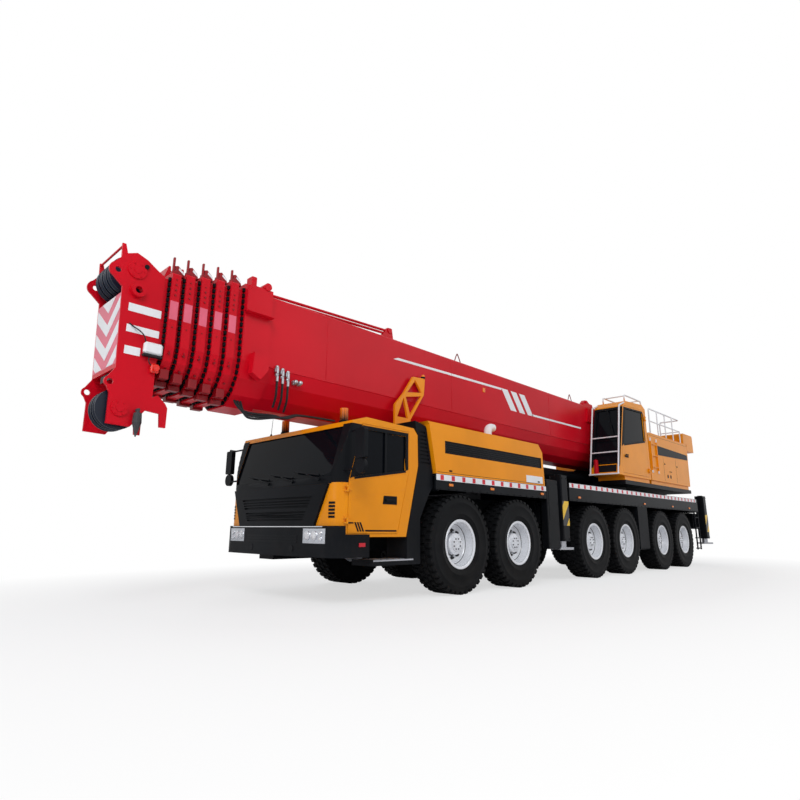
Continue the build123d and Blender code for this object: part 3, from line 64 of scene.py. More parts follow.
def at(x, y, z):
    """A point of the row frame from its distance ahead of the first axle."""
    return Vector((x + AXLE_ONE.x, y, z))


# Materials

MATERIALS = {}
ROAD_DUST = (0.16, 0.14, 0.12)
BUMP_STRENGTH = 0.3
COAT_ROUGHNESS = 0.08
GLOSS_SPREAD = 0.15
NOISE_MIDDLE = (0.3, 0.7)
DUST_HEIGHTS = (0.1, 1.5)


def shader_nodes(name):
    material = bpy.data.materials.new(name)
    material.use_nodes = True
    return material, material.node_tree, material.node_tree.nodes["Principled BSDF"]


def add_node(tree, kind, inputs=None, **settings):
    """A node with its settings. An input given as a socket is linked, any other is a plain value."""
    node = tree.nodes.new(kind)
    for name, value in settings.items():
        setattr(node, name, value)
    for key, value in (inputs or {}).items():
        if isinstance(value, bpy.types.NodeSocket):
            tree.links.new(value, node.inputs[key])
        else:
            node.inputs[key].default_value = value
    return node


def object_place(tree):
    return add_node(tree, "ShaderNodeTexCoord").outputs["Object"]


def speckle(tree, scale, detail=3.0):
    """A noise pattern fixed to the object's own coordinates."""
    return add_node(tree, "ShaderNodeTexNoise", {"Vector": object_place(tree), "Scale": scale,
                                                 "Detail": detail}).outputs["Fac"]


def ramp(tree, factor, low, high, low_value, high_value):
    """Turns a pattern between low and high into a value between the two given ones."""
    return add_node(tree, "ShaderNodeMapRange", {"Value": factor, "From Min": low, "From Max": high,
                                                 "To Min": low_value,
                                                 "To Max": high_value}).outputs["Result"]


def combine(tree, operation, first, second):
    return add_node(tree, "ShaderNodeMath", {0: first, 1: second}, operation=operation).outputs[0]


def mix_colour(tree, factor, first, second):
    first, second = (c if isinstance(c, bpy.types.NodeSocket) else (*c, 1) for c in (first, second))
    return add_node(tree, "ShaderNodeMix", {0: factor, 6: first, 7: second}, data_type="RGBA").outputs[2]


def set_values(bsdf, **values):
    """Sets plain values, the names written with underscores for spaces."""
    for name, value in values.items():
        bsdf.inputs[name.replace("_", " ")].default_value = value


def paint(name, colour, roughness, metallic=0.0, coat=0.0, tone=0.12, tone_scale=1.3, grain=0.0,
          grain_scale=60.0, dust=0.0, specular=0.3):
    """A finish whose tone and gloss vary a little, with a grain and road dust low on the crane."""
    material, tree, bsdf = shader_nodes(name)
    darker = tuple(c * (1 - tone) for c in colour)
    lighter = tuple(min(1, c * (1 + tone)) for c in colour)
    base = mix_colour(tree, ramp(tree, speckle(tree, tone_scale), 0.35, 0.65, 0, 1), darker, lighter)
    if dust:
        split = add_node(tree, "ShaderNodeSeparateXYZ", {0: object_place(tree)})
        low = ramp(tree, split.outputs["Z"], *DUST_HEIGHTS, dust, 0.0)
        patch = ramp(tree, speckle(tree, 5.0, 6.0), 0.35, 0.7, 0.1, 1)
        base = mix_colour(tree, combine(tree, "MULTIPLY", low, patch), base, ROAD_DUST)
    tree.links.new(base, bsdf.inputs["Base Color"])
    fine = speckle(tree, grain_scale, 2.0)
    tree.links.new(ramp(tree, fine, *NOISE_MIDDLE, roughness * (1 - GLOSS_SPREAD),
                        min(1, roughness * (1 + GLOSS_SPREAD))), bsdf.inputs["Roughness"])
    set_values(bsdf, Metallic=metallic, Coat_Weight=coat, Coat_Roughness=COAT_ROUGHNESS,
               Specular_IOR_Level=specular)
    if grain:
        bump = add_node(tree, "ShaderNodeBump", {"Distance": grain, "Strength": BUMP_STRENGTH,
                                                 "Height": fine})
        tree.links.new(bump.outputs["Normal"], bsdf.inputs["Normal"])
    return material


def tint(name, colour, clear, roughness=0.03, gleam=0.5):
    """Tinted glass: the clearer it is, the more of the inside shows."""
    material, tree, bsdf = shader_nodes(name)
    haze = speckle(tree, 2.0)
    lighter = tuple(min(1, c * 1.5) for c in colour)
    tree.links.new(mix_colour(tree, haze, colour, lighter), bsdf.inputs["Base Color"])
    tree.links.new(ramp(tree, haze, *NOISE_MIDDLE, roughness, roughness * 2), bsdf.inputs["Roughness"])
    set_values(bsdf, Transmission_Weight=clear, Specular_IOR_Level=gleam)
    return material


def stripes(name, first, second, pitch, angle):
    """Slanted warning stripes painted across a plate."""
    material, tree, bsdf = shader_nodes(name)
    turn = add_node(tree, "ShaderNodeMapping", {"Vector": object_place(tree), "Rotation": (0, angle, 0)})
    split = add_node(tree, "ShaderNodeSeparateXYZ", {0: turn.outputs["Vector"]})
    wave = combine(tree, "PINGPONG", split.outputs["X"], pitch)
    edge = ramp(tree, wave, pitch * 0.49, pitch * 0.51, 0, 1)
    tree.links.new(mix_colour(tree, edge, first, second), bsdf.inputs["Base Color"])
    fine = speckle(tree, 90.0)
    tree.links.new(ramp(tree, fine, *NOISE_MIDDLE, 0.3, 0.45), bsdf.inputs["Roughness"])
    return material


def make_materials(colours):
    return {
        "orange": paint("orange_paint", colours.orange, 0.32, coat=0.12, tone=0.05, dust=0.08,
                        specular=0.14),
        "red": paint("boom_red_paint", colours.red, 0.34, coat=0.05, tone=0.1, tone_scale=0.5,
                     specular=0.12),
        # dark_red is the boom red darkened to 0.42: painted shade, used on the collars' posts, levers,
        # bolts and feet and on the base section's hoops
        "dark_red": paint("red_painted_shade", tuple(c * 0.42 for c in colours.red), 0.45, coat=0.1,
                          tone=0.2),
        "black": paint("black_paint", colours.black, 0.38, coat=0.01, tone=0.25, dust=0.06, specular=0.07),
        "plastic": paint("black_plastic", colours.black, 0.48, tone=0.2, grain=0.0008, grain_scale=220,
                         dust=0.04, specular=0.07),
        "rubber": paint("tyre_rubber", (0.005, 0.0055, 0.0065), 0.6, tone=0.3, grain=0.0012,
                        grain_scale=130, dust=0.04, specular=0.08),
        "hose": paint("hose_rubber", (0.01, 0.01, 0.012), 0.55, tone=0.2, grain=0.0005, grain_scale=300),
        "silver": paint("rim_silver", (0.8, 0.82, 0.86), 0.28, metallic=0.1, coat=0.2, tone=0.06,
                        dust=0.04, specular=0.5),
        "steel": paint("bare_steel", (0.42, 0.43, 0.46), 0.32, metallic=0.85, tone=0.15, grain=0.0004),
        "chrome": paint("rod_chrome", (0.72, 0.73, 0.76), 0.12, metallic=1.0, tone=0.04),
        "white": paint("white_paint", (0.84, 0.85, 0.87), 0.4, tone=0.05),
        # pink: on the collars' side bands a painted highlight, on the head's chevron plate its red film
        "pink": paint("pink_film_and_painted_highlight", (0.74, 0.13, 0.2), 0.35, tone=0.08),
        "red_film": paint("reflective_red", (0.62, 0.02, 0.035), 0.35, tone=0.1),
        "amber": tint("amber_lens", (0.95, 0.2, 0.01), 0.15, 0.12),
        "red_lens": tint("red_lens", (0.8, 0.02, 0.01), 0.15, 0.12),
        "lens": tint("lamp_lens", (0.8, 0.84, 0.9), 0.35, 0.05),
        "reflector": paint("lamp_reflector", (0.56, 0.58, 0.62), 0.18, metallic=0.8, tone=0.15),
        "glass": tint("dark_glass", (0.003, 0.004, 0.006), 0.08, gleam=0.03),
        "mirror": paint("mirror_glass", (0.75, 0.77, 0.8), 0.04, metallic=1.0, tone=0.03),
        "sheave": paint("sheave_plastic", (0.01, 0.016, 0.032), 0.38, tone=0.3),
        "fabric": paint("seat_fabric", (0.03, 0.03, 0.035), 0.85, tone=0.3, grain=0.001, grain_scale=400),
        "iron": paint("cast_iron", (0.06, 0.06, 0.065), 0.6, tone=0.3, grain=0.001),
        "yellow_hazard": stripes("yellow_stripes", (0.012, 0.012, 0.014), (0.85, 0.52, 0.01), 0.17,
                                 radians(38)),
    }


# Mesh helpers

def as_mesh(shape, name):
    """Turns what was built into a mesh, with its close corners joined and its faces turned outwards."""
    mesh = bpy.data.meshes.new(name)
    bmesh.ops.remove_doubles(shape, verts=shape.verts, dist=WELD)
    bmesh.ops.recalc_face_normals(shape, faces=shape.faces)
    shape.to_mesh(mesh)
    shape.free()
    return mesh


def linked(name, data):
    """An object with its data, in the scene."""
    thing = bpy.data.objects.new(name, data)
    bpy.context.scene.collection.objects.link(thing)
    return thing


def finished(name, mesh, finish, body, smooth=False):
    """Links a mesh as a piece, with its finish, and lets it ride on its body."""
    if isinstance(mesh, bmesh.types.BMesh):
        mesh = as_mesh(mesh, name)
    mesh.materials.clear()
    mesh.materials.append(MATERIALS[finish])
    piece = linked(name, mesh)
    if smooth:
        mesh.polygons.foreach_set("use_smooth", [True] * len(mesh.polygons))
        mesh.set_sharp_from_angle(angle=SMOOTH_ANGLE)
    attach(piece, body)
    return piece


def add_block(shape, low, high, bevel=0.006):
    """A box with softened edges, given by two opposite corners."""
    low, high = (Vector([pick(a, b) for a, b in zip(low, high)]) for pick in (min, max))
    made = bmesh.ops.create_cube(shape, size=1)
    size = high - low
    place = Matrix.Translation((low + high) / 2) @ Matrix.Diagonal((*size, 1))
    bmesh.ops.transform(shape, matrix=place, verts=made["verts"])
    width = min(bevel, min(size) * 0.3)
    if width > SMALLEST_BEVEL:
        fresh = set(made["verts"])
        edges = [e for e in shape.edges if e.verts[0] in fresh]
        bmesh.ops.bevel(shape, geom=edges, offset=width, segments=1, affect="EDGES")


def add_rod(shape, first, last, radius, sides=20, end_radius=None):
    """A round bar, or a cone when its end radius differs."""
    first, last = Vector(first), Vector(last)
    along = last - first
    made = bmesh.ops.create_cone(shape, cap_ends=True, segments=sides, radius1=radius,
                                 radius2=radius if end_radius is None else end_radius, depth=along.length)
    turn = along.to_track_quat("Z", "Y").to_matrix().to_4x4()
    bmesh.ops.transform(shape, matrix=Matrix.Translation((first + last) / 2) @ turn, verts=made["verts"])


def add_ball(shape, centre, radius, squash=(1, 1, 1)):
    made = bmesh.ops.create_uvsphere(shape, u_segments=20, v_segments=12, radius=radius)
    place = Matrix.Translation(centre) @ Matrix.Diagonal((*squash, 1))
    bmesh.ops.transform(shape, matrix=place, verts=made["verts"])


def add_plate(shape, outline, thickness):
    """A flat plate: its outline's points lie in one plane and it grows by the thickness vector."""
    thickness = Vector(thickness)
    front = [shape.verts.new(Vector(p)) for p in outline]
    back = [shape.verts.new(Vector(p) + thickness) for p in outline]
    shape.faces.new(front)
    shape.faces.new(list(reversed(back)))
    for i in range(len(front)):
        k = (i + 1) % len(front)
        shape.faces.new((front[i], back[i], back[k], front[k]))


def side_outline(points, y):
    """Points of the row frame from (x, z) pairs in a plane across the crane."""
    return [at(x, y, z) for x, z in points]


def rect(first, last, low, high):
    """The four corners of a rectangle, from its two ends, its bottom and its top."""
    return [(first, low), (last, low), (last, high), (first, high)]


def side_plate(shape, points, y, thickness):
    """A plate that stands along the crane, from (x, z) pairs at a distance from the middle."""
    add_plate(shape, side_outline(points, y), (0, thickness, 0))


def flip(shape):
    """Takes what a mesh holds over to the crane's other side."""
    bmesh.ops.scale(shape, vec=(1, -1, 1), verts=shape.verts)


def mirror(*shapes):
    """Adds to each mesh what it holds on the crane's other side, too."""
    for shape in shapes:
        made = bmesh.ops.duplicate(shape, geom=[*shape.verts, *shape.edges, *shape.faces])["geom"]
        verts = [part for part in made if isinstance(part, bmesh.types.BMVert)]
        bmesh.ops.scale(shape, vec=(1, -1, 1), verts=verts)


def add_pin(shape, x, z, near, far, radius, sides=20):
    """A round bar across the crane, between two distances from its middle."""
    add_rod(shape, at(x, near, z), at(x, far, z), radius, sides)


def add_pipe(shape, route, radius, sides=10, smooth_corners=True):
    """A round pipe along a route, with its corners rounded."""
    curve = bpy.data.curves.new("route", "CURVE")
    curve.dimensions = "3D"
    curve.bevel_depth = radius
    curve.bevel_resolution = max(1, sides // 4)
    curve.use_fill_caps = True
    curve.resolution_u = 8
    spline = curve.splines.new("NURBS" if smooth_corners else "POLY")
    spline.points.add(len(route) - 1)
    for point, place in zip(spline.points, route):
        point.co = (*place, 1)
    if smooth_corners:
        spline.order_u = 3
        spline.use_endpoint_u = True
    holder = bpy.data.objects.new("route", curve)
    mesh = bpy.data.meshes.new_from_object(holder)
    shape.from_mesh(mesh)
    bpy.data.objects.remove(holder)
    bpy.data.curves.remove(curve)
    bpy.data.meshes.remove(mesh)


def circle(radius, count, start=0):
    """Pairs of places at even steps round a circle, the first one turned by a part of a step."""
    return [(radius * cos(2 * pi * (k + start) / count),
             radius * sin(2 * pi * (k + start) / count)) for k in range(count)]


def add_turned(shape, profile, centre=Vector(), steps=72, axis="Y", closed=True):
    """A ring turned about the Y or Z axis from (radius, height along the axis) points."""
    rings = []
    for radius, height in profile:
        ring = []
        for across, along in circle(radius, steps):
            point = (across, height, along) if axis == "Y" else (across, along, height)
            ring.append(shape.verts.new(centre + Vector(point)))
        rings.append(ring)
    if closed:
        rings.append(rings[0])
    for inner, outer in zip(rings, rings[1:]):
        for k in range(steps):
            j = (k + 1) % steps
            shape.faces.new((inner[k], inner[j], outer[j], outer[k]))


# What repeats along a path

def parts_on_path_tree():
    """Geometry Nodes: a part placed at even steps along a path, its top turned away from a centre."""
    tree = bpy.data.node_groups.new("parts_on_path", "GeometryNodeTree")
    for name, kind in (("Path", "Geometry"), ("Part", "Object"), ("Count", "Int"), ("Centre", "Vector"),
                       ("Finish", "Material")):
        tree.interface.new_socket(name, in_out="INPUT", socket_type=f"NodeSocket{kind}")
    tree.interface.new_socket("Parts", in_out="OUTPUT", socket_type="NodeSocketGeometry")

    def add(kind, inputs=None, **settings):
        return add_node(tree, kind, inputs, **settings).outputs

    given = add("NodeGroupInput")
    curve = add("GeometryNodeMeshToCurve", {"Mesh": given["Path"]})
    points = add("GeometryNodeResampleCurve", {"Curve": curve["Curve"], "Count": given["Count"]})
    part = add("GeometryNodeObjectInfo", {"Object": given["Part"]})
    tangent = add("GeometryNodeInputTangent")["Tangent"]
    position = add("GeometryNodeInputPosition")["Position"]
    away = add("ShaderNodeVectorMath", {0: position, 1: given["Centre"]}, operation="SUBTRACT")
    along = add("FunctionNodeAlignRotationToVector", {"Vector": tangent}, axis="X")
    aims = {"Rotation": along["Rotation"], "Vector": away["Vector"]}
    upright = add("FunctionNodeAlignRotationToVector", aims, axis="Z", pivot_axis="X")
    given_places = {"Points": points["Curve"], "Instance": part["Geometry"],
                    "Rotation": upright["Rotation"]}
    placed = add("GeometryNodeInstanceOnPoints", given_places)
    real = add("GeometryNodeRealizeInstances", {"Geometry": placed["Instances"]})
    dressed = add("GeometryNodeSetMaterial", {"Geometry": real["Geometry"], "Material": given["Finish"]})
    add("NodeGroupOutput", {"Parts": dressed["Geometry"]})
    return tree


def socket_id(tree, name):
    return next(i.identifier for i in tree.interface.items_tree if i.name == name and i.in_out == "INPUT")


def parts_on_path(shape, path, part, count, centre, finish, closed=False):
    """Adds the parts that a path carries to a mesh, as real geometry."""
    tree = bpy.data.node_groups.get("parts_on_path") or parts_on_path_tree()
    line = bpy.data.meshes.new("path")
    edges = [(i, i + 1) for i in range(len(path) - 1)]
    if closed:
        edges.append((len(path) - 1, 0))
    line.from_pydata([tuple(p) for p in path], edges, [])
    carrier = linked("path", line)
    part_mesh = as_mesh(part, "part")
    part_object = linked("part", part_mesh)
    modifier = carrier.modifiers.new("parts", "NODES")
    modifier.node_group = tree
    modifier[socket_id(tree, "Part")] = part_object
    modifier[socket_id(tree, "Count")] = count
    modifier[socket_id(tree, "Centre")] = tuple(centre)
    modifier[socket_id(tree, "Finish")] = MATERIALS[finish]
    graph = bpy.context.evaluated_depsgraph_get()
    made = bpy.data.meshes.new_from_object(carrier.evaluated_get(graph))
    shape.from_mesh(made)
    for thing in (carrier, part_object):
        bpy.data.objects.remove(thing)
    for mesh in (line, part_mesh, made):
        bpy.data.meshes.remove(mesh)


def tapered_block(length, width, height, top=0.86, sink=0.0):
    """A small lug that narrows towards its top, standing on z = 0."""
    part = bmesh.new()
    made = bmesh.ops.create_cube(part, size=1)
    for vert in made["verts"]:
        shrink = top if vert.co.z > 0 else 1.0
        vert.co = Vector((vert.co.x * length * shrink, vert.co.y * width * shrink,
                          (vert.co.z + 0.5) * height - sink))
    return part


def hex_nut(radius, height):
    """A hexagon nut on its washer, standing on z = 0."""
    part = bmesh.new()
    add_rod(part, (0, 0, 0), (0, 0, height * 0.25), radius * WASHER, 16)
    add_rod(part, (0, 0, height * 0.25), (0, 0, height * 0.8), radius, 6)
    add_rod(part, (0, 0, height * 0.8), (0, 0, height), radius * 0.6, 10)
    return part


# Settings

def length(name, description, default, **more):
    return bpy.props.FloatProperty(name=name, description=description, default=default, subtype="DISTANCE",
                                   unit="LENGTH", **more)


def colour(name, description, default):
    return bpy.props.FloatVectorProperty(name=name, description=description, default=default, size=3,
                                         subtype="COLOR", min=0, max=1)


class CraneColours(bpy.types.PropertyGroup):
    orange: colour("Bodywork", "Paint of the cabs, hood and deck", (0.86, 0.295, 0.004))
    red: colour("Boom", "Paint of the boom and its head", (0.6, 0.003, 0.014))
    black: colour("Black parts", "Frame, bumper and trim", (0.006, 0.007, 0.009))


class CraneSizes(bpy.types.PropertyGroup):
    tread_lugs: bpy.props.IntProperty(name="Tread lugs", description="Lugs in one row of a tyre's tread",
                                      default=40, min=12)
    wheel_nuts: bpy.props.IntProperty(name="Wheel nuts", description="Nuts on one wheel", default=10, min=4)
    lug_height: length("Lug height", "Depth of the tyre's tread", 0.024)
    line_width: length("Boom line", "Width of the white line on the boom", 0.045)


def settings():
    return bpy.context.scene.crane_sizes


# Stage

CAMERA_PLACE = (7.0396, 6.97, 0.95)
CAMERA_YAW = radians(44.247)
CAMERA_PITCH = radians(13.2)
CAMERA_ROLL = radians(0.376)
CAMERA_LENS = 24.99
SKY_COLOUR = (0.93, 0.95, 1.0, 1)
SKY_STRENGTH = 0.42
FLOOR_HALF = 400
FLOOR_DROP = 0.001
GLOW_SCALE = (1 / 13.5, 1 / 6.5, 1)
GLOW_RAMP = (0.62, 1.12, 0.62, 1.0)


class CRANE_OT_stage(bpy.types.Operator):
    """Makes the floor, the lamps, the world and the camera"""
    bl_idname = "crane.stage"
    bl_label = "Stage"

    def execute(self, context):
        scene = context.scene
        scene.view_settings.view_transform = "Standard"
        self.make_world(scene)
        self.make_floor()
        self.make_lamps()
        self.make_camera(scene)
        return {"FINISHED"}

    def make_world(self, scene):
        world = bpy.data.worlds.new("studio")
        scene.world = world
        world.use_nodes = True
        tree = world.node_tree
        sky = tree.nodes["Background"]
        set_values(sky, Color=SKY_COLOUR, Strength=SKY_STRENGTH)
        seen = add_node(tree, "ShaderNodeBackground", {"Color": (1, 1, 1, 1), "Strength": 1.0})
        rays = add_node(tree, "ShaderNodeLightPath").outputs
        shown = rays["Is Camera Ray"]
        for kind in ("Is Transmission Ray", "Is Glossy Ray"):
            shown = combine(tree, "MAXIMUM", shown, rays[kind])
        mix = add_node(tree, "ShaderNodeMixShader", {0: shown, 1: sky.outputs[0], 2: seen.outputs[0]})
        tree.links.new(mix.outputs[0], tree.nodes["World Output"].inputs["Surface"])

    def make_floor(self):
        shape = bmesh.new()
        bmesh.ops.create_grid(shape, x_segments=1, y_segments=1, size=FLOOR_HALF)
        mesh = as_mesh(shape, "floor")
        floor = linked("floor", mesh)
        floor.location = (0, 0, -FLOOR_DROP)
        material, tree, bsdf = shader_nodes("studio_floor")
        set_values(bsdf, Base_Color=(0.9, 0.9, 0.91, 1), Roughness=0.9)
        scaled = add_node(tree, "ShaderNodeMapping", {"Vector": object_place(tree), "Scale": GLOW_SCALE})
        distance = add_node(tree, "ShaderNodeVectorMath", {0: scaled.outputs["Vector"]}, operation="LENGTH")
        far = ramp(tree, distance.outputs["Value"], *GLOW_RAMP)
        rays = add_node(tree, "ShaderNodeLightPath").outputs
        shown = combine(tree, "MULTIPLY", far, rays["Is Camera Ray"])
        glow = add_node(tree, "ShaderNodeEmission", {"Strength": 1.0})
        mix = add_node(tree, "ShaderNodeMixShader", {0: shown, 1: bsdf.outputs[0], 2: glow.outputs[0]})
        tree.links.new(mix.outputs[0], tree.nodes["Material Output"].inputs["Surface"])
        mesh.materials.append(material)

    def make_lamps(self):
        lamps = (
            # name, place, aim, size, power
            ("key", (16, 12, 14), (0, 0, 1), 9, 1500),
            ("front", (22, 3, 5), (4, 0, 2), 7, 260),
            ("fill", (-8, 16, 12), (-4, 0, 1), 12, 520),
            ("back", (-6, -18, 12), (0, 0, 2), 10, 520),
        )
        for name, place, aim, size, power in lamps:
            light = bpy.data.lights.new(name, "AREA")
            light.shape = "DISK"
            light.size = size
            light.energy = power
            lamp = linked(name, light)
            lamp.location = place
            lamp.rotation_euler = (Vector(aim) - Vector(place)).to_track_quat("-Z", "Y").to_euler()

    def make_camera(self, scene):
        ahead = Vector((-cos(CAMERA_YAW) * cos(CAMERA_PITCH), -sin(CAMERA_YAW) * cos(CAMERA_PITCH),
                        sin(CAMERA_PITCH)))
        right = ahead.cross(Vector((0, 0, 1))).normalized()
        up = right.cross(ahead)
        right, up = (cos(CAMERA_ROLL) * right + sin(CAMERA_ROLL) * up,
                     cos(CAMERA_ROLL) * up - sin(CAMERA_ROLL) * right)
        camera = linked("camera", bpy.data.cameras.new("camera"))
        camera.data.lens = CAMERA_LENS
        camera.data.clip_end = 500
        axes = Matrix((right, up, -ahead)).transposed().to_4x4()
        camera.matrix_world = Matrix.Translation(at(*CAMERA_PLACE)) @ axes
        scene.camera = camera


# Materials of the carried-over solids

NODE_FINISHES = (
    # finish, the start of the nodes' names
    ("orange", ("engine_hood", "cab_shell", "cab_door", "boom_rest", "power_pack", "operator_cab",
                "operator_door", "counterweight")),
    ("red", ("boom_base", "boom_section", "boom_head")),
    ("black", ("chassis_frame", "axle_beams", "carrier_deck", "knuckle", "slew_platform", "winch",
               "luff_barrel", "outrigger_beam")),
    ("plastic", ("front_bumper", "side_fittings", "cab_mirrors")),
    ("glass", ("cab_glass", "operator_glass")),
    ("reflector", ("headlamps",)),
    ("fabric", ("cab_interior",)),
    ("iron", ("engine_block",)),
    ("sheave", ("head_sheaves",)),
    ("chrome", ("luff_rod",)),
    ("steel", ("outrigger_jack",)),
    ("rubber", ("wheel",)),
)


FREE = (-inf, inf)
SCREEN_EDGE_Y = 1.2005


def ahead_of_axle(point):
    """A point's distance ahead of the first axle, how far it lies from the middle, and its height."""
    return point.x - AXLE_ONE.x, abs(point.y), point.z


def between(x=FREE, y=FREE, z=FREE):
    """A test for points that lie between two distances ahead, from the middle and up."""
    def holds(point):
        return all(low < value < high for value, (low, high) in zip(ahead_of_axle(point), (x, y, z)))
    return holds


def operator_front(z):
    """How far forward the leaning front of the operator's cab lies at a height."""
    return -6.23 - (z - 2.33) * 0.2914


def is_operator_reveal(point):
    x, y, z = ahead_of_axle(point)
    front = operator_front(z)
    return 0.7 < y < 1.42 and 2.5 < z < 4.06 and front - 0.09 < x < front - 0.003


def is_guard(point):
    x, _, z = ahead_of_axle(point)
    front = operator_front(z)
    roof = 4.08 + (-6.74 - x) * 0.7368
    return z > 4.296 or (z > 2.29 and x > front + 0.012) or (x > -6.93 and z > roof + 0.012)


DOOR_PANE = between((1.16, 2.16), (1.335, 1.3695), (1.6, 2.31))
TINTS = (
    # node, finish of the faces, which faces
    ("cab_door_left", "glass", DOOR_PANE),
    ("cab_door_right", "glass", DOOR_PANE),
    ("cab_shell", "black", between(x=(2.0, inf), y=(-inf, SCREEN_EDGE_Y), z=(1.639, 2.331))),
    ("operator_door", "glass", between((-8.0, -6.61), (1.39, 1.418), (3.05, inf))),
    ("engine_hood", "black", between((-2.585, 0.335), (1.4, 1.4299), (2.128, 2.332))),
    ("engine_hood", "white", between((-2.1, -1.5), (0.7, 1.0), (2.596, inf))),
    ("cab_mirrors", "amber", between(y=(-inf, 0.9), z=(2.6, inf))),
    ("operator_cab", "black", is_operator_reveal),
    ("operator_cab", "white", is_guard),
    ("power_pack", "white", between(z=(3.601, inf))),
)


class CRANE_OT_paint(bpy.types.Operator):
    """Gives every carried-over solid its finish, and some of its faces a second one"""
    bl_idname = "crane.paint"
    bl_label = "Paint"

    def execute(self, context):
        MATERIALS.update(make_materials(context.scene.crane_colours))
        for name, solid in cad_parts.items():
            finish = next(f for f, starts in NODE_FINISHES if name.startswith(starts))
            solid.data.materials.clear()
            solid.data.materials.append(MATERIALS[finish])
        for name, finish, chosen in TINTS:
            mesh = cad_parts[name].data
            mesh.materials.append(MATERIALS[finish])
            slot = len(mesh.materials) - 1
            for polygon in mesh.polygons:
                if chosen(polygon.center):
                    polygon.material_index = slot
        return {"FINISHED"}


# Wheels

TYRE_PROFILE = ((0.33, -0.186), (0.372, -0.19), (0.392, -0.2), (0.47, -0.216), (0.56, -0.221),
                (0.64, -0.219), (0.7, -0.213), (0.722, -0.19), (0.724, -0.1), (0.725, 0.0), (0.724, 0.1),
                (0.722, 0.19), (0.7, 0.213), (0.64, 0.219), (0.632, 0.2215), (0.624, 0.219), (0.56, 0.221),
                (0.47, 0.216), (0.462, 0.2195), (0.454, 0.216), (0.392, 0.2), (0.372, 0.19), (0.33, 0.186))
RIM_PROFILE = ((0.304, -0.204), (0.371, -0.204), (0.371, -0.19), (0.326, -0.184), (0.322, 0.0),
               (0.326, 0.184), (0.368, 0.19), (0.376, 0.199), (0.371, 0.2045), (0.352, 0.2045),
               (0.334, 0.196), (0.322, 0.15), (0.312, 0.085), (0.3, 0.05), (0.286, 0.036), (0.272, 0.04),
               (0.262, 0.03), (0.232, 0.012), (0.186, 0.012), (0.18, 0.02), (0.166, 0.02), (0.166, 0.092),
               (0.158, 0.102), (0.112, 0.106), (0.108, 0.126), (0.05, 0.13), (0.046, 0.122),
               (0.0005, 0.122))
GROOVES = (((0.3034, 0.06), (0.2993, 0.0508), (0.297, 0.0515), (0.301, 0.0615)),
           rect(0.167, 0.18, 0.0205, 0.0225))
TREAD_RADIUS = 0.7235
SHOULDER_RADIUS = 0.722
SHOULDER_Y = 0.206
LUG_ROWS = (
    # y, width across, offset in pitches
    (0.165, 0.095, 0.0),
    (0.055, 0.08, 0.5),
    (-0.055, 0.08, 0.0),
    (-0.165, 0.095, 0.5),
)


def make_tyre():
    count = settings().tread_lugs
    shape = bmesh.new()
    add_turned(shape, TYRE_PROFILE)
    for y, width, offset in LUG_ROWS:
        path = [Vector((x, y, z)) for x, z in circle(TREAD_RADIUS, count * 2, offset * 2)]
        lug = tapered_block(0.074, width, settings().lug_height)
        parts_on_path(shape, path, lug, count, (0, y, 0), "rubber", closed=True)
    for y in (SHOULDER_Y, -SHOULDER_Y):
        path = [Vector((x, y, z)) for x, z in circle(SHOULDER_RADIUS, count * 2)]
        lug = tapered_block(0.066, 0.018, 0.03, 0.9, 0.028)
        parts_on_path(shape, path, lug, count, (0, y, 0), "rubber", closed=True)
    return as_mesh(shape, "tyre")


def make_nuts():
    """The wheel nuts, the hub's bolts and the dark grooves round the dish and the hub."""
    shape = bmesh.new()
    for groove in GROOVES:
        add_turned(shape, groove)
    for radius, y, nuts, size in ((0.208, 0.012, settings().wheel_nuts, 0.022), (0.082, 0.126, 8, 0.009)):
        for x, z in circle(radius, nuts, 0.5):
            foot = Vector((x, y, z))
            for height, thickness, sides in ((0.4, WASHER, 14), (1.5, 1, 6), (2.2, 0.55, 8)):
                add_rod(shape, foot, foot + Vector((0, size * height, 0)), size * thickness, sides)
    return as_mesh(shape, "nuts")


def add_wheels():
    """A tyre, a rim and its nuts for every wheel, turned round on the right side."""
    rim = bmesh.new()
    add_turned(rim, RIM_PROFILE)
    tyre, rim, nuts = make_tyre(), as_mesh(rim, "rim"), make_nuts()
    for number in WHEEL_NUMBERS:
        for side, outward in SIDES:
            body = f"wheel_{number}_{side}"
            low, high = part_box(body)
            centre = (low + high) / 2
            centre.y = outward * ((abs(low.y) + abs(high.y)) / 2)
            turn = Matrix.Rotation(0 if outward > 0 else pi, 4, "Z")
            for label, source, finish, slot in (("tyre", tyre, "rubber", "tyre_rubber"),
                                                ("rim", rim, "silver", "jack_steel"),
                                                ("nuts", nuts, "iron", "cast_iron")):
                mesh = source.copy()
                mesh.transform(Matrix.Translation(centre) @ turn)
                piece = finished(f"{label}_{number}_{side}", mesh, finish, body, True)
                if label != "nuts":
                    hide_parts(body)


# Boom

BOOM_SIDE = 0.5502
BOOM_BEND_Z = 3.12
BOOM_TOP = 4.17
BOOM_BELLY = 0.574
BELLY_STEP = 22.5
BOOM_HALF = 0.55
SECTION_STEP = 0.026
COLLAR_OUT = 0.045
COLLAR_FRONTS = (
    # section, x of the collar's front face
    (1, 3.7),
    (2, 3.89),
    (3, 4.08),
    (4, 4.27),
    (5, 4.44),
)
COLLAR_LENGTH = 0.11
LINE_START = (0.62, 3.8)
LINE_END = (-2.63, 3.855)
BAR_TOPS = ((-2.63, -2.86), (-2.98, -3.2), (-3.31, -3.53))
BAR_SLANT = 0.33
BAR_BOTTOM_Z = 3.47
UNDERLINE_END = -6.17


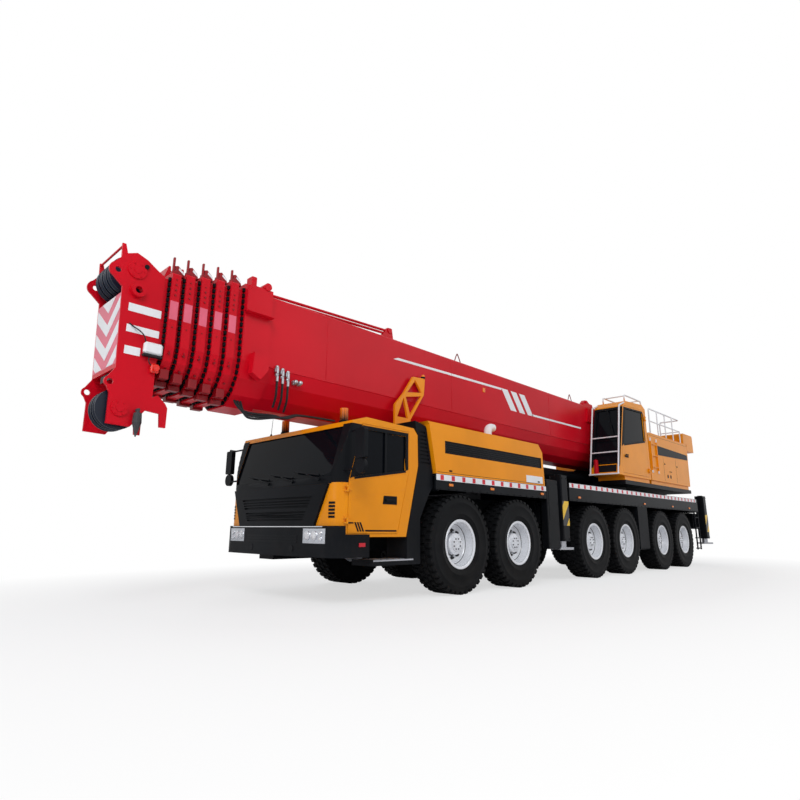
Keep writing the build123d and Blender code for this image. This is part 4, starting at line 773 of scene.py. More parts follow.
def tube_outline(shrink, x):
    """Points round a boom section's skin, from its left top corner over the belly to the right."""
    half = BOOM_HALF - shrink
    depth = BOOM_BELLY - shrink
    angles = [radians(BELLY_STEP * k) for k in range(4)]
    belly = [(half * cos(a), BOOM_BEND_Z - depth * sin(a)) for a in angles]
    left = [(half, BOOM_TOP - shrink - 0.05), *belly]
    return [at(x, y, z) for y, z in left] + [at(x, -y, z) for y, z in reversed(left)]


def add_boom_lines():
    """White lines and bars, weld seams and a marker lamp on the base section."""
    lines, seams = bmesh.new(), bmesh.new()
    width = settings().line_width
    x0, z0 = LINE_START
    x1, z1 = LINE_END
    strips = [[(x0, z0), (x0 - 0.12, z0 + width), (x1, z1 + width), (x1, z1)]]
    for front, rear in BAR_TOPS:
        strips.append([(front, z1 + width), (rear, z1 + width), (rear - BAR_SLANT, BAR_BOTTOM_Z),
                       (front - BAR_SLANT, BAR_BOTTOM_Z)])
    last = BAR_TOPS[-1][1] - BAR_SLANT
    strips.append([(last + 0.05, BAR_BOTTOM_Z), (last + 0.05, BAR_BOTTOM_Z + width),
                   (UNDERLINE_END, BAR_BOTTOM_Z + 0.02 + width * 0.9),
                   (UNDERLINE_END, BAR_BOTTOM_Z + 0.02)])
    for points in strips:
        side_plate(lines, points, BOOM_SIDE, THIN)
    add_pipe(seams, side_outline([(3.06, BOOM_BEND_Z), (-9.7, BOOM_BEND_Z)], 0.5515), 0.007, 6, False)
    for x in (2.05, -0.95, -4.6, -7.4):
        add_pipe(seams, side_outline([(x, 4.12), (x, BOOM_BEND_Z)], 0.55), 0.004, 4, False)
    mirror(lines, seams)
    finished("boom_lines", lines, "white", "boom_base")
    finished("boom_seams", seams, "red", "boom_base")
    marker = bmesh.new()
    add_block(marker, at(-2.03, 0.5502, 3.69), at(-1.95, 0.56, 3.78), 0.004)
    finished("boom_marker", marker, "amber", "boom_base")


def add_teeth(number, body, shrink, front):
    """Dark wear blocks round the mouth of a collar."""
    shape = bmesh.new()
    path = tube_outline(shrink + 0.004, front + 0.012)
    tooth = tapered_block(0.055, 0.034, 0.035, 0.8, 0.012)
    parts_on_path(shape, path, tooth, 46, at(front, 0, 3.3), "plastic")
    finished(f"collar_teeth_{number}", shape, "plastic", body)


def add_trim(number, body, inset, front):
    """Posts, a hooked lever, bands, bolts and feet of one collar."""
    rear = front - COLLAR_LENGTH
    side = BOOM_HALF - inset
    top = BOOM_TOP - inset
    posts = bmesh.new()
    y = side - 0.07
    peak = top + 0.155 + 0.012 * number
    add_block(posts, at(front - 0.034, y, top - 0.01), at(front - 0.008, y + 0.035, peak))
    add_block(posts, at(front - 0.055, y - 0.012, top - 0.01), at(front + 0.002, y + 0.05, top + 0.03))
    side_plate(posts, [(rear - 0.055, top - 0.02), (rear - 0.03, top + 0.055), (rear + 0.035, top + 0.115),
                       (rear + 0.075, top + 0.1), (rear + 0.06, top + 0.02), (rear + 0.09, top - 0.02)],
               y - 0.02, 0.05)
    # posts and hooked levers in the darkened red: painted shade
    finished(f"collar_post_{number}", posts, "dark_red", body)
    tip = bmesh.new()
    side_plate(tip, [(rear - 0.035, top + 0.015), (rear + 0.03, top + 0.062), (rear + 0.022, top + 0.088),
                     (rear - 0.042, top + 0.04)], y + 0.031, 0.004)
    finished(f"lever_tip_{number}", tip, "white", body)
    band, bolts = bmesh.new(), bmesh.new()
    side_plate(band, rect(rear + 0.004, front - 0.004, 3.46, 3.7), side + 0.0005, THIN)
    middle = (rear + front) / 2
    for z in (3.92, 3.85, 3.78):
        add_pin(bolts, middle, z, side, side + 0.012, 0.013, 6)
    for z in (3.99, 3.36, 3.05):
        add_pin(bolts, middle, z, side, side + 0.01, 0.009, 6)
    for k in range(3):
        angle = radians(BELLY_STEP * (k + 0.5))
        out = Vector((0, cos(angle), -sin(angle)))
        place = at(middle, side * out.y, BOOM_BEND_Z + (BOOM_BELLY - inset) * out.z)
        add_rod(bolts, place - out * 0.02, place + out * 0.012, 0.016, 6)
    mirror(band, bolts)
    # the collar's side band: a painted highlight in light pink
    finished(f"collar_band_{number}", band, "pink", body)
    # bolts in the darkened red: painted shade
    finished(f"collar_bolts_{number}", bolts, "dark_red", body)
    blocks = bmesh.new()
    add_block(blocks, at(rear - 0.02, 0.3, 2.62 + inset), at(front + 0.015, 0.2, 2.555 + inset))
    add_block(blocks, at(rear + 0.02, 0.44, 2.74 + inset), at(front + 0.02, 0.34, 2.62 + inset))
    mirror(blocks)
    # feet under the belly in the darkened red: painted shade
    finished(f"collar_feet_{number}", blocks, "dark_red", body)


def add_base_brackets():
    shape, dark = bmesh.new(), bmesh.new()
    y = 0.594
    side_plate(shape, [(3.1, 3.8), (3.49, 3.8), (3.49, 4.1), (3.4, 4.19), (3.1, 4.19)], y, 0.05)
    side_plate(shape, rect(3.08, 3.49, 3.79, 3.81), y, 0.1)
    add_pin(shape, 3.19, 4.23, 0.5, 0.66, 0.055, 20)
    add_block(shape, at(3.14, 0.48, 4.14), at(3.24, 0.62, 4.22), 0.006)
    add_block(shape, at(3.34, 0.46, 4.1), at(3.42, 0.6, 4.34), 0.006)
    side_plate(shape, [(3.12, 3.24), (3.36, 3.24), (3.38, 2.95), (3.25, 2.88), (3.14, 3.02)], y, 0.11)
    side_plate(dark, rect(3.15, 3.33, 3.222, 3.246), y + 0.01, 0.08)
    mirror(shape, dark)
    finished("base_brackets", shape, "red", "boom_base")
    finished("base_pocket", dark, "black", "boom_base")


def add_collars():
    for number, front in ((0, 3.49), *COLLAR_FRONTS):
        body = f"boom_section_{number}" if number else "boom_base"
        shrink = number * SECTION_STEP
        add_teeth(number, body, shrink, front)
        if number:
            add_trim(number, body, shrink - COLLAR_OUT, front)


PIPE_FRONT = (3.19, 4.23)
PIPE_REAR = (0.62, 4.33)
HOOPS = (-1.33, -5.95)
HOSE_X = (2.93, 2.84, 2.75)


def add_hoses():
    """Couplings and hoses under the base section's mouth."""
    steel, hoses = bmesh.new(), bmesh.new()
    for k, x in enumerate(HOSE_X):
        z = 3.1 - 0.02 * k
        add_block(steel, at(x - 0.03, 0.55, z - 0.03), at(x + 0.03, 0.6, z + 0.03), 0.006)
        for lower in (0.0, 0.11):
            add_rod(steel, at(x, 0.6, z + 0.02 - lower), at(x, 0.6, z - 0.055 - lower), 0.02, 12)
            add_ball(steel, at(x, 0.585, z + 0.04 - lower), 0.028)
        add_pipe(hoses, [at(x, 0.6, z - 0.1), at(x, 0.6, z - 0.26), at(x - 0.02, 0.56, z - 0.4),
                         at(x - 0.05, 0.45, z - 0.5)], 0.016, 8)
    for k, x in enumerate((2.62, 2.54)):
        add_block(steel, at(x - 0.03, 0.53, 2.95), at(x + 0.03, 0.585, 3.01), 0.006)
        add_ball(steel, at(x, 0.6, 2.985), 0.034)
    for k in range(3):
        drop = 0.035 * k
        add_pipe(hoses, [at(3.42 - 0.05 * k, 0.33, 2.66), at(3.36 - 0.04 * k, 0.36, 2.5 - drop),
                         at(3.12, 0.4, 2.47 - drop), at(2.86, 0.42, 2.5 - drop * 0.6),
                         at(2.66, 0.44, 2.46 + drop * 0.4), at(2.5, 0.4, 2.53 + drop * 0.3),
                         at(2.36, 0.34, 2.585), at(1.86 - 0.1 * k, 0.31, 2.6)], 0.016, 8)
    finished("hose_couplings", steel, "steel", "boom_base", True)
    finished("boom_hoses", hoses, "hose", "boom_base", True)


def add_rear_bracket():
    shape = bmesh.new()
    side_plate(shape, [(-6.35, 4.13), (-6.95, 4.13), (-6.9, 4.24), (-6.75, 4.24), (-6.62, 4.31),
                       (-6.5, 4.3), (-6.4, 4.22)], 0.45, 0.1)
    add_pin(shape, -6.55, 4.25, 0.42, 0.58, 0.035, 14)
    side_plate(shape, [(-6.45, 3.72), (-6.75, 3.72), (-6.82, 4.02), (-6.52, 4.08)], 0.551, 0.05)
    mirror(shape)
    finished("boom_rear_bracket", shape, "red", "boom_base")


def add_boom_pipes():
    red = bmesh.new()
    for lift in (0.0, -0.055):
        add_rod(red, at(PIPE_FRONT[0], 0.42, PIPE_FRONT[1] + lift),
                at(PIPE_REAR[0], 0.42, PIPE_REAR[1] + lift), 0.022, 12)
    x = PIPE_REAR[0]
    side_plate(red, [(x - 0.1, 4.16), (x + 0.22, 4.16), (x + 0.1, 4.3), (x + 0.04, 4.38),
                     (x - 0.06, 4.38)], 0.39, 0.06)
    add_pin(red, x, 4.33, 0.36, 0.47, 0.045, 16)
    mirror(red)
    finished("boom_top_pipes", red, "red", "boom_base")
    hoops = bmesh.new()
    for x in HOOPS:
        add_pipe(hoops, [at(x + 0.11, 0.4, 4.16), at(x + 0.02, 0.4, 4.38), at(x - 0.02, 0.4, 4.38),
                         at(x - 0.13, 0.4, 4.16)], 0.01, 8)
    mirror(hoops)
    # hoops in the darkened red: painted shade
    finished("boom_hoops", hoops, "dark_red", "boom_base")


HEAD_SIDE = 0.401
SIDE_BARS = (
    # front x, rear x, top z, bottom z
    (4.89, 4.505, 3.55, 3.45),
    (4.885, 4.505, 3.285, 3.195),
    (4.88, 4.7, 3.025, 2.925),
)
CHEVRON_COUNT = 4


def on_head(points, out):
    """Points on the head's slanted front plate, from (y, z) pairs."""
    return [at(4.945 + 0.037 * (z - 2.74) / 0.92 + out, y, z) for y, z in points]


def add_chevrons():
    white, red = bmesh.new(), bmesh.new()
    low, high, half = 2.8, 3.655, 0.375
    pitch, rise = 0.3, 0.27
    for k in range(-1, CHEVRON_COUNT):
        top = high - 0.04 - pitch * k
        corners = [(0.0, top - rise), (half, top), (half, top - pitch / 2), (0.0, top - rise - pitch / 2)]
        clipped = clip(corners, low, high)
        if len(clipped) > 2:
            add_plate(white, on_head(clipped, 0.0008), (THIN, 0, 0))
    mirror(white)
    add_plate(red, on_head(rect(-half - 0.01, half + 0.01, low - 0.01, high), 0.0002), (0.0006, 0, 0))
    finished("head_chevron_white", white, "white", "boom_head")
    finished("head_chevron_red", red, "pink", "boom_head")


def clip(corners, low, high):
    """Cuts a polygon of (y, z) points to a band of heights."""
    for limit, keep in ((low, 1), (high, -1)):
        kept = []
        for (y0, z0), (y1, z1) in zip(corners, corners[1:] + corners[:1]):
            inside0, inside1 = (z0 - limit) * keep >= 0, (z1 - limit) * keep >= 0
            if inside0:
                kept.append((y0, z0))
            if inside0 != inside1:
                t = (limit - z0) / (z1 - z0)
                kept.append((y0 + t * (y1 - y0), limit))
        corners = kept
        if len(corners) < 3:
            return []
    return corners


def add_bars():
    shape = bmesh.new()
    for front, rear, top, bottom in SIDE_BARS:
        side_plate(shape, rect(front, rear, bottom, top), HEAD_SIDE, THIN)
    mirror(shape)
    finished("head_side_bars", shape, "white", "boom_head")


def add_fittings():
    red = bmesh.new()
    for x, z, radius in ((4.84, 3.98, 0.11), (4.85, 2.28, 0.095)):
        add_pin(red, x, z, 0.4003, 0.418, radius, 32)
        for across, up in circle(radius * 0.78, 6):
            add_pin(red, x + across, z + up, 0.418, 0.426, 0.011, 6)
    mirror(red)
    finished("head_bosses", red, "red", "boom_head", True)
    dark = bmesh.new()
    add_plate(dark, [at(4.9452, y, z) for y, z in rect(0.34, -0.05, 2.7, 2.62)], (0.004, 0, 0))
    for y in (0.31, -0.31):
        add_pin(dark, 4.74, 4.05, y + 0.1, y + 0.115, 0.03, 12)
    finished("head_slots", dark, "black", "boom_head")
    box = bmesh.new()
    add_block(box, at(4.68, 0.402, 2.965), at(4.46, 0.475, 3.11), 0.022)
    finished("head_sensor_box", box, "white", "boom_head")
    seal = bmesh.new()
    add_block(seal, at(4.685, 0.402, 2.935), at(4.455, 0.47, 2.966), 0.012)
    add_pipe(seal, [at(4.66, 0.44, 3.1), at(4.68, 0.46, 3.16), at(4.74, 0.45, 3.22), at(4.82, 0.41, 3.27),
                    at(4.86, 0.405, 3.3)], 0.008, 6)
    add_pipe(seal, [at(4.6, 0.44, 2.95), at(4.62, 0.45, 2.88), at(4.56, 0.44, 2.82), at(4.53, 0.43, 2.8)],
             0.007, 6)
    finished("head_cables", seal, "hose", "boom_head")
    lamp = bmesh.new()
    add_block(lamp, at(4.575, 0.402, 2.75), at(4.475, 0.46, 2.86), 0.015)
    add_pin(lamp, 4.525, 2.805, 0.455, 0.49, 0.038, 16)
    finished("head_lamp", lamp, "red_lens", "boom_head")
    add_socket()


def add_socket():
    """Rope socket that hangs beside the head's left cheek."""
    shape = bmesh.new()
    x, y = 4.665, 0.455
    add_rod(shape, at(x, y, 2.29), at(x, y, 2.24), 0.022, 14)
    add_rod(shape, at(x, y, 2.24), at(x, y, 2.13), 0.045, 18, 0.052)
    add_rod(shape, at(x, y, 2.13), at(x, y, 1.965), 0.052, 18, 0.006)
    add_pin(shape, x, 2.28, 0.39, y + 0.02, 0.016, 10)
    finished("head_rope_socket", shape, "iron", "boom_head", True)


# Carrier

SKIN = 0.0006
DOOR_Y = 1.37
DECK_Y = 1.43
DOOR_WINDOW = ((2.15, 1.64), (1.165, 1.8), (1.165, 2.3), (1.985, 2.3))
DOOR_STRIPES = (
    # points (x, z) of each black mark on the door
    ((2.235, 1.05), (2.15, 1.05), (2.143, 1.03), (2.235, 1.03)),
    ((2.135, 1.05), (2.105, 1.05), (2.045, 0.93), (2.075, 0.93)),
    ((2.09, 1.05), (2.06, 1.05), (2.0, 0.93), (2.03, 0.93)),
    ((2.045, 1.05), (2.015, 1.05), (1.955, 0.93), (1.985, 0.93)),
    ((1.94, 0.952), (1.345, 0.952), (1.345, 0.93), (1.93, 0.93)),
)
DOOR_SURROUND = (
    # points (x, z) of the black strips round the window, the last one its upright bar
    ((2.226, 1.615), (2.15, 1.64), (1.985, 2.3), (1.972, 2.352), (2.021, 2.352)),
    ((1.985, 2.3), (1.165, 2.3), (1.165, 2.352), (1.972, 2.352)),
    ((1.165, 1.8), (1.11, 1.81), (1.11, 2.352), (1.165, 2.352)),
    ((1.59, 1.722), (1.55, 1.728), (1.55, 2.3), (1.59, 2.3)),
)
DOOR_RECESS = ((1.62, 1.3), (1.345, 1.3), (1.345, 1.415), (1.6, 1.415))
DOOR_CREASES = (((2.225, 1.585), (1.18, 1.745), (1.176, 1.757), (2.225, 1.598)),
                ((2.225, 1.33), (1.175, 1.52), (1.172, 1.531), (2.225, 1.341)))
WIPERS = (
    # y of the pivot, height of the blade's near and far end
    (1.0, 1.655, 1.735),
    (0.4, 1.65, 1.73),
    (-0.2, 1.65, 1.73),
)
MARKERS = (0.2, -0.91, -2.55, -4.06, -7.58, -9.59, -10.98)
CHANNEL_COVERS = (
    # front and rear x, on the right and then on the left
    (-3.25, -3.6),
    (-2.75, -3.19),
)
CORNER_CENTRE = (2.178, 1.14)
CORNER_RADIUS = 0.23
BUMPER_OUT = 0.0505
LAMP_RADIUS = 0.062
COVER_LIFTS = (0.0022, 0.0042)


def strip(shape, points, y, out=SKIN * 2):
    """A thin flat mark on the left side face, from (x, z) points."""
    side_plate(shape, points, y + SKIN, out)


def frame_strips(shape, outline, y, width, out=0.004):
    """Flat trim along the inside of an outline's edges."""
    middle = Vector((sum(x for x, _ in outline), sum(z for _, z in outline))) / len(outline)
    for (x0, z0), (x1, z1) in zip(outline, outline[1:] + outline[:1]):
        a, b = Vector((x0, z0)), Vector((x1, z1))
        across = Vector((-(b - a).y, (b - a).x)).normalized() * width
        if (middle - a).dot(across) > 0:
            across = -across
        strip(shape, (tuple(a), tuple(b), tuple(b + across), tuple(a + across)), y, out)


def nose_x(y):
    """How far forward the bowed front of the carrier's cab lies at a distance from the middle."""
    return 2.45 - y * y / 31.3


def on_nose(points, out):
    """Points ahead of the bowed front, from (y, z) pairs."""
    return [at(nose_x(y) + out, y, z) for y, z in points]


def screen_x(z):
    """How far forward the slanted windscreen lies at a height."""
    return 2.445 - (z - 1.57) * 0.2892


def cab_front_x(y, z):
    """How far forward the cab's front lies: the bowed nose, its rounded corners and the slanted screen."""
    across = abs(y)
    if across <= CORNER_CENTRE[1]:
        plan = nose_x(across)
    else:
        reach = min(across - CORNER_CENTRE[1], CORNER_RADIUS)
        plan = CORNER_CENTRE[0] + sqrt(CORNER_RADIUS ** 2 - reach ** 2)
    return min(plan, screen_x(z))


def add_cover(shape, near_rows, far_rows):
    """A thin curved sheet from two grids of points, one on the skin and one a little in front of it."""
    sheets = [[[shape.verts.new(point) for point in row] for row in rows] for rows in (near_rows, far_rows)]
    columns, rows = len(near_rows) - 1, len(near_rows[0]) - 1
    for sheet in sheets:
        for i in range(columns):
            for k in range(rows):
                shape.faces.new((sheet[i][k], sheet[i + 1][k], sheet[i + 1][k + 1], sheet[i][k + 1]))
    near, far = sheets
    rim = [(i, 0) for i in range(columns)] + [(columns, k) for k in range(rows)]
    rim += [(i, rows) for i in range(columns, 0, -1)] + [(0, k) for k in range(rows, 0, -1)]
    for (i, k), (j, m) in zip(rim, rim[1:] + rim[:1]):
        shape.faces.new((near[i][k], near[j][m], far[j][m], far[i][k]))


def pillar_plan(z, out):
    """Points (x, y) round the left front pillar, from the windscreen's edge to the door's gap."""
    rear = 2.242 - max(0, z - 1.6) * 0.2792
    first = asin((SCREEN_EDGE_Y - CORNER_CENTRE[1]) / CORNER_RADIUS)
    last = acos(max(0.0, (rear - CORNER_CENTRE[0]) / CORNER_RADIUS))
    radius = CORNER_RADIUS + out
    points = []
    for k in range(11):
        angle = first + (last - first) * k / 10
        points.append((min(CORNER_CENTRE[0] + radius * cos(angle), screen_x(z) + out * 1.05),
                       CORNER_CENTRE[1] + radius * sin(angle)))
    points.append((min(rear, points[-1][0]), points[-1][1]))
    return points


def corner_point(angle, z):
    """A point just off the cab's rounded front corner, on the left side."""
    radius = CORNER_RADIUS + SKIN
    return at(CORNER_CENTRE[0] + radius * cos(angle), CORNER_CENTRE[1] + radius * sin(angle), z)


def add_screen_surround():
    """Black band under the windscreen and black pillars beside it, up to the roof's edge."""
    shape = bmesh.new()
    heights = [1.56 + 0.02 * k for k in range(41)]
    add_cover(shape, *([[at(x, y, z) for x, y in pillar_plan(z, lift)] for z in heights]
                       for lift in COVER_LIFTS))
    mirror(shape)
    below = [1.206 * k / 12 for k in range(-12, 13)]
    add_cover(shape, *([[at(cab_front_x(y, z) + lift, y, z) for y in below]
                        for z in (1.545, 1.553, 1.575, 1.605, 1.6405)] for lift in COVER_LIFTS))
    finished("screen_surround", shape, "plastic", "carrier")


def add_door_trims():
    """The marks, window trim, handle and creases of both doors, made on the left and flipped."""
    for side, _ in SIDES:
        body = f"cab_door_{side}"
        marks, trim, crease = (bmesh.new() for _ in range(3))
        for points in DOOR_STRIPES:
            strip(marks, points, DOOR_Y)
        frame_strips(trim, DOOR_WINDOW, DOOR_Y, 0.032)
        strip(trim, DOOR_RECESS, DOOR_Y, 0.006)
        add_block(trim, at(1.575, 1.376, 1.335), at(1.375, 1.398, 1.372), 0.008)
        for points in DOOR_SURROUND:
            strip(trim, points, DOOR_Y, 0.003)
        for points in DOOR_CREASES:
            strip(crease, points, DOOR_Y, 0.003)
        for name, shape, finish, slot in (("marks", marks, "black", "frame_paint"),
                                          ("trim", trim, "plastic", "black_plastic"),
                                          ("creases", crease, "orange", "orange_paint")):
            if side == "right":
                flip(shape)
            finished(f"{body}_{name}", shape, finish, body)


def add_wipers():
    shape = bmesh.new()
    for y, near, far in WIPERS:
        foot = at(screen_x(1.6) + 0.004, y, 1.6)
        elbow = at(screen_x(near + 0.03) + 0.03, y - 0.3, near + 0.035)
        add_rod(shape, foot, foot + Vector((0.03, 0, 0.009)), 0.022, 16)
        add_pipe(shape, [foot + Vector((0.026, 0, 0.008)), at(screen_x(1.63) + 0.035, y - 0.08, 1.63),
                         elbow], 0.008, 8)
        blade = ((y - 0.02, near), (y - 0.62, far), (y - 0.62, far + 0.02), (y - 0.02, near + 0.02))
        add_plate(shape, [at(screen_x(z) + 0.006, w, z) for w, z in blade], (0.018, 0, 0.005))
    finished("cab_wipers", shape, "plastic", "carrier")
    whip = bmesh.new()
    add_rod(whip, at(1.96, -0.98, 2.468), at(1.96, -0.98, 2.5), 0.022, 14, 0.012)
    add_rod(whip, at(1.96, -0.98, 2.5), at(1.93, -0.98, 2.92), 0.0045, 8, 0.0025)
    finished("cab_antenna", whip, "plastic", "carrier")


def add_lamps():
    """Headlamps in pairs, small lamps beside them and the step's red markers."""
    ring, glass, red = bmesh.new(), bmesh.new(), bmesh.new()
    for y in (0.825, 0.965):
        x = nose_x(y) + 0.052
        add_rod(ring, at(x - 0.012, y, 0.872), at(x + 0.006, y, 0.872), LAMP_RADIUS, 32)
        add_ball(glass, at(x + 0.002, y, 0.872), LAMP_RADIUS * 0.8, (0.35, 1, 1))
    x = nose_x(1.1) + 0.05
    for z in (0.835, 0.905):
        add_rod(ring, at(x - 0.01, 1.09, z), at(x + 0.01, 1.09, z), 0.03, 24)
        add_ball(glass, at(x + 0.008, 1.09, z), 0.024, (0.4, 1, 1))
    add_block(red, at(1.98, 1.4205, 0.735), at(2.09, 1.432, 0.785), 0.004)
    add_plate(ring, on_nose(rect(0.755, 1.17, 0.784, 0.79), BUMPER_OUT + 0.001), (0.002, 0, 0))
    mirror(ring, glass, red)
    finished("headlamp_rings", ring, "chrome", "carrier", True)
    finished("headlamp_lenses", glass, "lens", "carrier", True)
    finished("step_markers", red, "red_film", "carrier")


def add_front():
    """The bumper's grille and chrome line, the corner vents and the step's treads."""
    dark, chrome, vent = bmesh.new(), bmesh.new(), bmesh.new()
    steps = [-0.62 + 0.124 * k for k in range(11)]
    for low, high in ((0.775, 0.8), (0.812, 0.837), (0.849, 0.874)):
        for a, b in zip(steps, steps[1:]):
            add_plate(dark, on_nose(rect(a, b, low, high), BUMPER_OUT), (0.004, 0, 0))
    rim = [-1.125 + 0.125 * k for k in range(19)]
    for a, b in zip(rim, rim[1:]):
        add_plate(chrome, on_nose(rect(a, b, 0.983, 0.994), BUMPER_OUT), (0.003, 0, 0))
    for y in (0.5, -0.5):
        add_rod(dark, at(nose_x(y) + 0.048, y, 0.7), at(nose_x(y) + 0.056, y, 0.7), 0.045, 24)
    for z in (1.1, 1.145, 1.19, 1.235, 1.28):
        for k in range(4):
            a, b = radians(8 + 6 * k), radians(14 + 6 * k)
            add_plate(vent, [corner_point(angle, height) for angle, height in rect(a, b, z, z + 0.03)],
                      (0.004, 0.001, 0))
    mirror(vent)
    finished("bumper_grille", dark, "black", "carrier")
    finished("bumper_line", chrome, "chrome", "carrier")
    finished("corner_vents", vent, "black", "carrier")
    tread = bmesh.new()
    for x in (1.2, 1.32, 1.44, 1.56, 1.68):
        add_block(tread, at(x - 0.045, 1.345, 0.5602), at(x + 0.045, 1.1, 0.566), 0.002)
    side_plate(tread, rect(1.78, 1.0, 0.538, 0.558), 1.3706, 0.003)
    mirror(tread)
    finished("cab_step_treads", tread, "steel", "carrier")


def add_mirror_glass():
    shape = bmesh.new()
    add_plate(shape, [at(2.2545, y, z) for y, z in rect(1.59, 1.73, 1.87, 2.215)], (-0.003, 0, 0))
    mirror(shape)
    finished("mirror_panes", shape, "mirror", "carrier")


def add_channel_covers():
    """Closed box beside each front jack, over the end of the other beam's channel."""
    shape = bmesh.new()
    for front, rear in CHANNEL_COVERS:
        flip(shape)
        add_block(shape, at(front, 1.27, 0.62), at(rear, 1.418, 1.94), 0.012)
        for z in (0.72, 1.1, 1.48, 1.86):
            for x in (front - 0.04, rear + 0.04):
                add_pin(shape, x, z, 1.417, 1.424, 0.011, 6)
        side_plate(shape, rect(front - 0.07, rear + 0.07, 1.16, 1.82), 1.417, 0.005)
    finished("channel_covers", shape, "black", "carrier")


def add_deck_bolts():
    shape = bmesh.new()
    for front, rear, z, count in ((0.45, -2.62, 1.575, 16), (-3.75, -11.68, 1.575, 38)):
        middle = (front + rear) / 2
        path = side_outline([(front, z), (middle, z), (rear, z)], DECK_Y)
        parts_on_path(shape, path, hex_nut(0.01, 0.008), count, at(middle, 0, z), "black")
    mirror(shape)
    finished("deck_bolts", shape, "black", "carrier")


def add_rest_lamp():
    foot, glass = bmesh.new(), bmesh.new()
    add_rod(foot, at(-0.06, 0.62, 3.57), at(-0.06, 0.62, 3.6), 0.04, 20)
    add_ball(glass, at(-0.06, 0.62, 3.6), 0.036, (1, 1, 1.3))
    finished("rest_lamp_foot", foot, "plastic", "carrier")
    finished("rest_lamp", glass, "amber", "carrier", True)


def add_outrigger_marks():
    for place, low, high in (("front", 1.06, 1.54), ("rear", 0.96, 1.48)):
        for side_name, side in SIDES:
            body = f"outrigger_beam_{place}_{side_name}"
            jack_low, jack_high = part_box(f"outrigger_jack_{place}_{side_name}")
            beam_low, beam_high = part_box(body)
            x = (jack_low.x + jack_high.x) / 2
            y = beam_high.y if side > 0 else -beam_low.y
            plate = bmesh.new()
            corners = [Vector((x + dx, side * (y + SKIN), z)) for dx, z in rect(0.124, -0.124, low, high)]
            add_plate(plate, corners, (0, side * 0.002, 0))
            finished(f"{place}_{side_name}_stripes", plate, "yellow_hazard", body)
            bolts = bmesh.new()
            for dx in (-0.085, 0.085):
                for z in (beam_high.z - 0.06, 0.8):
                    foot = Vector((x + dx, side * y, z))
                    add_rod(bolts, foot, foot + Vector((0, side * 0.01, 0)), 0.014, 6)
            cap = Vector((x, side * (y - 0.128), beam_high.z))
            add_rod(bolts, cap, cap + Vector((0, 0, 0.02)), 0.075, 24)
            finished(f"{place}_{side_name}_bolts", bolts, "black", body)


def add_side_bands():
    """Striped bands, marker lamps, a seam and latches along the hood and the deck."""
    white, red, amber, dark, metal = (bmesh.new() for _ in range(5))
    for front, rear, low, high, blocks in ((0.545, -2.71, 1.703, 1.793, 12),
                                           (-3.66, -11.66, 1.832, 1.922, 29)):
        strip(white, rect(front, rear, low, high), DECK_Y)
        pitch = (front - rear) / blocks
        for k in range(blocks):
            x = front - pitch * (k + 0.35)
            rear_x = x - pitch * 0.3
            strip(red, rect(x, rear_x, low + 0.006, high - 0.006), DECK_Y + 0.0012)
    strip(white, rect(-2.02, -2.6, 1.835, 1.965), DECK_Y)
    for x in MARKERS:
        add_block(amber, at(x - 0.05, 1.4303, 1.622), at(x + 0.05, 1.446, 1.662), 0.006)
    strip(dark, rect(0.52, -2.655, 1.826, 1.832), DECK_Y)
    for x in (0.2, -2.45):
        add_block(metal, at(x - 0.035, 1.4303, 1.85), at(x + 0.035, 1.44, 1.874), 0.005)
    mirror(white, red, amber, dark, metal)
    finished("side_bands", white, "white", "carrier")
    finished("side_band_blocks", red, "red_film", "carrier")
    finished("marker_lamps", amber, "amber", "carrier")
    finished("hood_seams", dark, "black", "carrier")
    finished("hood_latches", metal, "plastic", "carrier")


# Superstructure

OPERATOR_SIDE_Y = 1.43
OPERATOR_WINDOW = ((-8.0, 3.3), (-8.0, 4.06), (-6.885, 4.01), (-6.605, 3.07))
HOUSING_Y = 1.4


def on_operator(points, out):
    """Points on the leaning front of the operator's cab, from (y, z) pairs."""
    return [at(operator_front(z) + out, y, z) for y, z in points]


